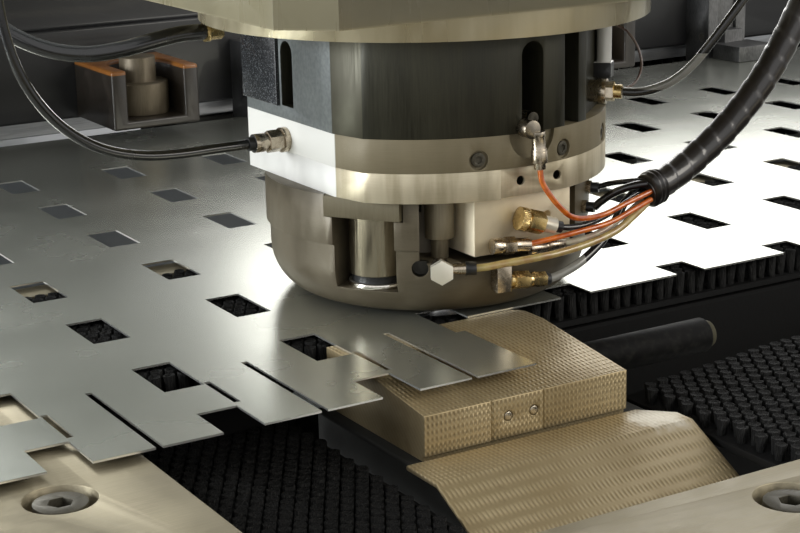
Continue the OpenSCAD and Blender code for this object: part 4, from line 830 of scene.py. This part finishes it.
def tuft_spots(low, high, pitch, top, chance, inside=lambda x, y: True):
    """Places of tufts in staggered rows, leaning a little each its own way, so that the rims of
    their tops stay under a height."""
    most_lean = 0.08
    top -= pitch * 0.5 * most_lean * 1.5
    spots = []
    rows = int((high[1] - low[1]) / (pitch * 0.87))
    for r in range(rows + 1):
        y = low[1] + r * pitch * 0.87
        columns = int((high[0] - low[0]) / pitch)
        for c in range(columns + 1):
            x = low[0] + (c + 0.5 * (r % 2)) * pitch
            if x > high[0] or y > high[1] or not inside(x, y):
                continue
            lean = Matrix.Rotation(chance.uniform(-most_lean, most_lean), 4, "X")
            lean @= Matrix.Rotation(chance.uniform(-most_lean, most_lean), 4, "Y")
            lean @= Matrix.Rotation(chance.uniform(0, 6.0), 4, "Z")
            spots.append(Matrix.Translation((x, y, top - chance.uniform(0, 0.0015))) @ lean)
    return spots


bristle, sockets, place = finish("bristle", (0.012, 0.012, 0.012), 0.6)
strand = place.grain(0.0009, 2, (1, 1, 0.12)).step(0.4, 0.75)
feed(sockets, Base_Color=strand.tint((0.004, 0.004, 0.004), (0.022, 0.022, 0.021)),
     Roughness=strand * -0.15 + 0.7, Normal=strand.relief(0.001, 0.9))
sockets["Specular IOR Level"].default_value = 0.15
tuft_pitch, tuft_radius, tuft_height, margin = 0.0115, 0.0047, 0.024, 0.007
chance = random.Random(7)
field_low, field_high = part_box("center_brush")
high_front = die_high.y + 0.006
low_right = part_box("chute_cover")[0].x - 0.007
low_top = field_low.z + tuft_height
die_hole, die_room = 0.0985, 0.005
high_field = (field_low.x + 0.005, high_front), (field_high.x, field_high.y), field_high.z
low_field = (field_low.x, field_low.y), (low_right, high_front), low_top


def off_the_die(x, y):
    return math.hypot(x, y) > die_hole + die_room


center_tufts = link("center_tufts", "frame", bristle, "brush_black", "center_brush")
spots = []
for low, high, top in (high_field, low_field):
    spots += tuft_spots((low[0] + margin, low[1] + margin), (high[0] - margin, high[1] - margin),
                        tuft_pitch, top, chance, off_the_die)
planted(center_tufts, tuft_shape(tuft_radius, tuft_height), spots)

# Brush boards. Black plastic boards under the tufts, one for the high field and one for the low
# field beside the chute. Each is a plain slab, and the high one isn't cut out round the die.
board_thickness = 0.005
board = link("brush_board", "frame", flap_paint, "brush_black")
slab = bmesh.new()
for low, high, top in (high_field, low_field):
    span = Vector((high[0] - low[0], high[1] - low[1], board_thickness))
    middle = Vector(((high[0] + low[0]) / 2, (high[1] + low[1]) / 2, top - tuft_height))
    made = bmesh.ops.create_cube(slab, size=1.0)
    bmesh.ops.scale(slab, verts=made["verts"], vec=span)
    bmesh.ops.translate(slab, verts=made["verts"], vec=middle)
slab.to_mesh(board.data)
slab.free()

# Flap brush. Short tufts of the same nylon on the flap, whose tops follow its slope.
flap_tilt, flap_tuft_height = math.radians(3.7), 0.0135
flap_low, flap_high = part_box("flap_brush")
flap_tufts = link("flap_tufts", "flap", bristle, "brush_black", "flap_brush")
spots = tuft_spots((flap_low.x + margin, flap_low.y + margin),
                   (flap_high.x - margin, flap_high.y - margin), tuft_pitch, 0.0, chance)
top_at = flap_high.z - 0.001
sloped = []
for spot in spots:
    x = spot.translation.x
    rise = (x - flap_high.x) * math.tan(flap_tilt)
    sloped.append(Matrix.Translation((0, 0, top_at + rise)) @ spot)
planted(flap_tufts, tuft_shape(tuft_radius, flap_tuft_height), sloped)

# Plate. The table plate is ground steel with counterbored socket bolts, on a stand of box legs.
plate_steel = ground_steel("plate_steel", (0.27, 0.235, 0.16), (0.37, 0.33, 0.235), 0.42,
                           (0.06, 1, 1), 0.8)
edged("station_plate", 0.0012)
edged("plate_bolts", 0.0006)
edged("plate_stand", 0.003)
dress(plate_steel, "station_plate")
dress(black_screw, "plate_bolts")
table_paint = sprayed_paint("table_paint", (0.55, 0.56, 0.55), 0.42, 0.002)
dress(table_paint, "plate_stand")

# Side tables. Welded and painted, with strips of brush let into their tops, lower behind the head
# where the clamps pass over.
for table in ("side_table_left", "side_table_right"):
    edged(table, 0.003)
    dress(table_paint, table)
strip_pitch, strip_radius, strip_height, strip_margin = 0.021, 0.0105, 0.012, 0.011
for side, word in ((-1, "left"), (1, "right")):
    spots = []
    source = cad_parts["side_brushes"].data
    outline = bmesh.new()
    outline.from_mesh(source)
    bmesh.ops.remove_doubles(outline, verts=outline.verts, dist=0.00001)
    seen_faces = set()
    for face in outline.faces:
        if face in seen_faces or face.calc_center_median().x * side < 0:
            continue
        island, queue = set(), [face]
        while queue:
            here = queue.pop()
            if here in island:
                continue
            island.add(here)
            queue += [f for e in here.edges for f in e.link_faces if f not in island]
        seen_faces |= island
        corners = [v.co for f in island for v in f.verts]
        low = Vector([min(c[i] for c in corners) for i in range(3)])
        high = Vector([max(c[i] for c in corners) for i in range(3)])
        spots += tuft_spots((low.x + strip_margin, low.y + strip_margin),
                            (high.x - strip_margin, high.y - strip_margin),
                            strip_pitch, high.z, chance)
    outline.free()
    strip_tufts = link("strip_tufts_" + word, "frame", bristle, "brush_black", "side_brushes")
    planted(strip_tufts, tuft_shape(strip_radius, strip_height, 6), spots)

# Axes. Ground guides, their carriages, the painted saddle and the long box rail, whose front is
# painted near black as painted shade of its recess.
for name in ("y_guides", "x_guides"):
    edged(name, 0.0015)
    dress(ground_steel(name + "_steel", (0.38, 0.39, 0.40), (0.56, 0.57, 0.58), 0.28,
                       (1, 0.04, 1) if name == "y_guides" else (0.04, 1, 1)), name)
saddle_paint = sprayed_paint("saddle_paint", (0.20, 0.215, 0.23), 0.4, 0.003)
edged("saddle", 0.004, 3)
edged("saddle_bearings", 0.002)
edged("x_rail", 0.004, 3)
dress(saddle_paint, "saddle")
dress(iron_paint, "saddle_bearings")
rail_finish, sockets, place = finish("rail_paint", (0.66, 0.67, 0.66), 0.42, coat=0.15)
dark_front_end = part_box("tool_cassettes")[1].y + 0.009
# Painted shade: the rail's front is tinted near black in front of this depth.
behind = place.axis("Y").step(dark_front_end - 0.0002, dark_front_end)
cloud = place.grain(0.2, 4).step(0.3, 0.75)
feed(sockets, Base_Color=behind.tint(cloud.tint((0.008, 0.008, 0.009), (0.014, 0.014, 0.015)),
                                     cloud.tint((0.60, 0.61, 0.60), (0.68, 0.69, 0.68))),
     Roughness=cloud * 0.1 + 0.42, Normal=place.grain(0.002, 1).relief(0.0002, 0.5))
dress(rail_finish, "x_rail")

# Clamps. Blackened steel jaws, which turn on chromed pins in their bodies and grip the sheet's
# rear edge.
clamp_steel = ground_steel("clamp_steel", (0.07, 0.07, 0.07), (0.16, 0.16, 0.16), 0.38, (1, 1, 0.2))
for name in ("clamp_bodies", "clamp_jaw_left", "clamp_jaw_middle", "clamp_jaw_right"):
    edged(name, 0.0015)
    dress(clamp_steel, name)
dress(chrome, "clamp_pins")

# Cassettes. Dark moulded holders on the rail with an orange top edge, each with a spare tool.
cassette_plastic, sockets, place = finish("cassette_plastic", (0.05, 0.035, 0.025), 0.4, coat=0.2)
orange_start = pass_line + 0.0795
top_edge = place.axis("Z").step(orange_start - 0.0005, orange_start)
wipe = place.grain(0.02, 4).step(0.35, 0.75)
base = wipe.tint((0.018, 0.014, 0.01), (0.028, 0.021, 0.015))
feed(sockets, Base_Color=top_edge.tint(base, wipe.tint((0.28, 0.105, 0.018), (0.20, 0.07, 0.012))),
     Roughness=wipe * 0.12 + 0.38, Normal=place.grain(0.0015).relief(0.00005, 0.4))
edged("tool_cassettes", 0.003, 3)
edged("spare_tools", 0.0015)
dress(cassette_plastic, "tool_cassettes")
dress(ground_steel("spare_steel", (0.11, 0.09, 0.06), (0.17, 0.14, 0.095), 0.42, (1, 1, 0.1), 0.5),
      "spare_tools")

# Sheet. Galvanised steel, part punched. Its zinc shows faint spangle, rolling lines and a smudge
# or two, and its punched edges of bare steel are painted near white as a painted highlight.
zinc, sockets, place = finish("galvanised_zinc", (0.46, 0.48, 0.44), 0.3, 0.85)
spangle = place.node("TexVoronoi", {"feature": "F1"}, {"Vector": place, "Scale": 160.0}, "Color")
spangle = place.node("SeparateXYZ", {}, {0: spangle}, "X")
rolling = place.grain(0.002, 3, (0.03, 1, 1)).step(0.3, 0.7)
cloud = place.grain(0.12, 4).step(0.3, 0.75)
mark = cloud * 0.5 + spangle * 0.08 + rolling * 0.12
base = mark.tint((0.49, 0.505, 0.45), (0.58, 0.59, 0.535))
skin = pass_line - 0.0002
# Painted highlight: the cut faces under the top skin are tinted near white.
punched_highlight = 1 - place.axis("Z").step(skin - 0.0002, skin)
feed(sockets, Base_Color=punched_highlight.tint(base, (0.74, 0.74, 0.70)),
     Roughness=cloud * 0.05 + 0.24)
dress(zinc, "sheet")

low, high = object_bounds()
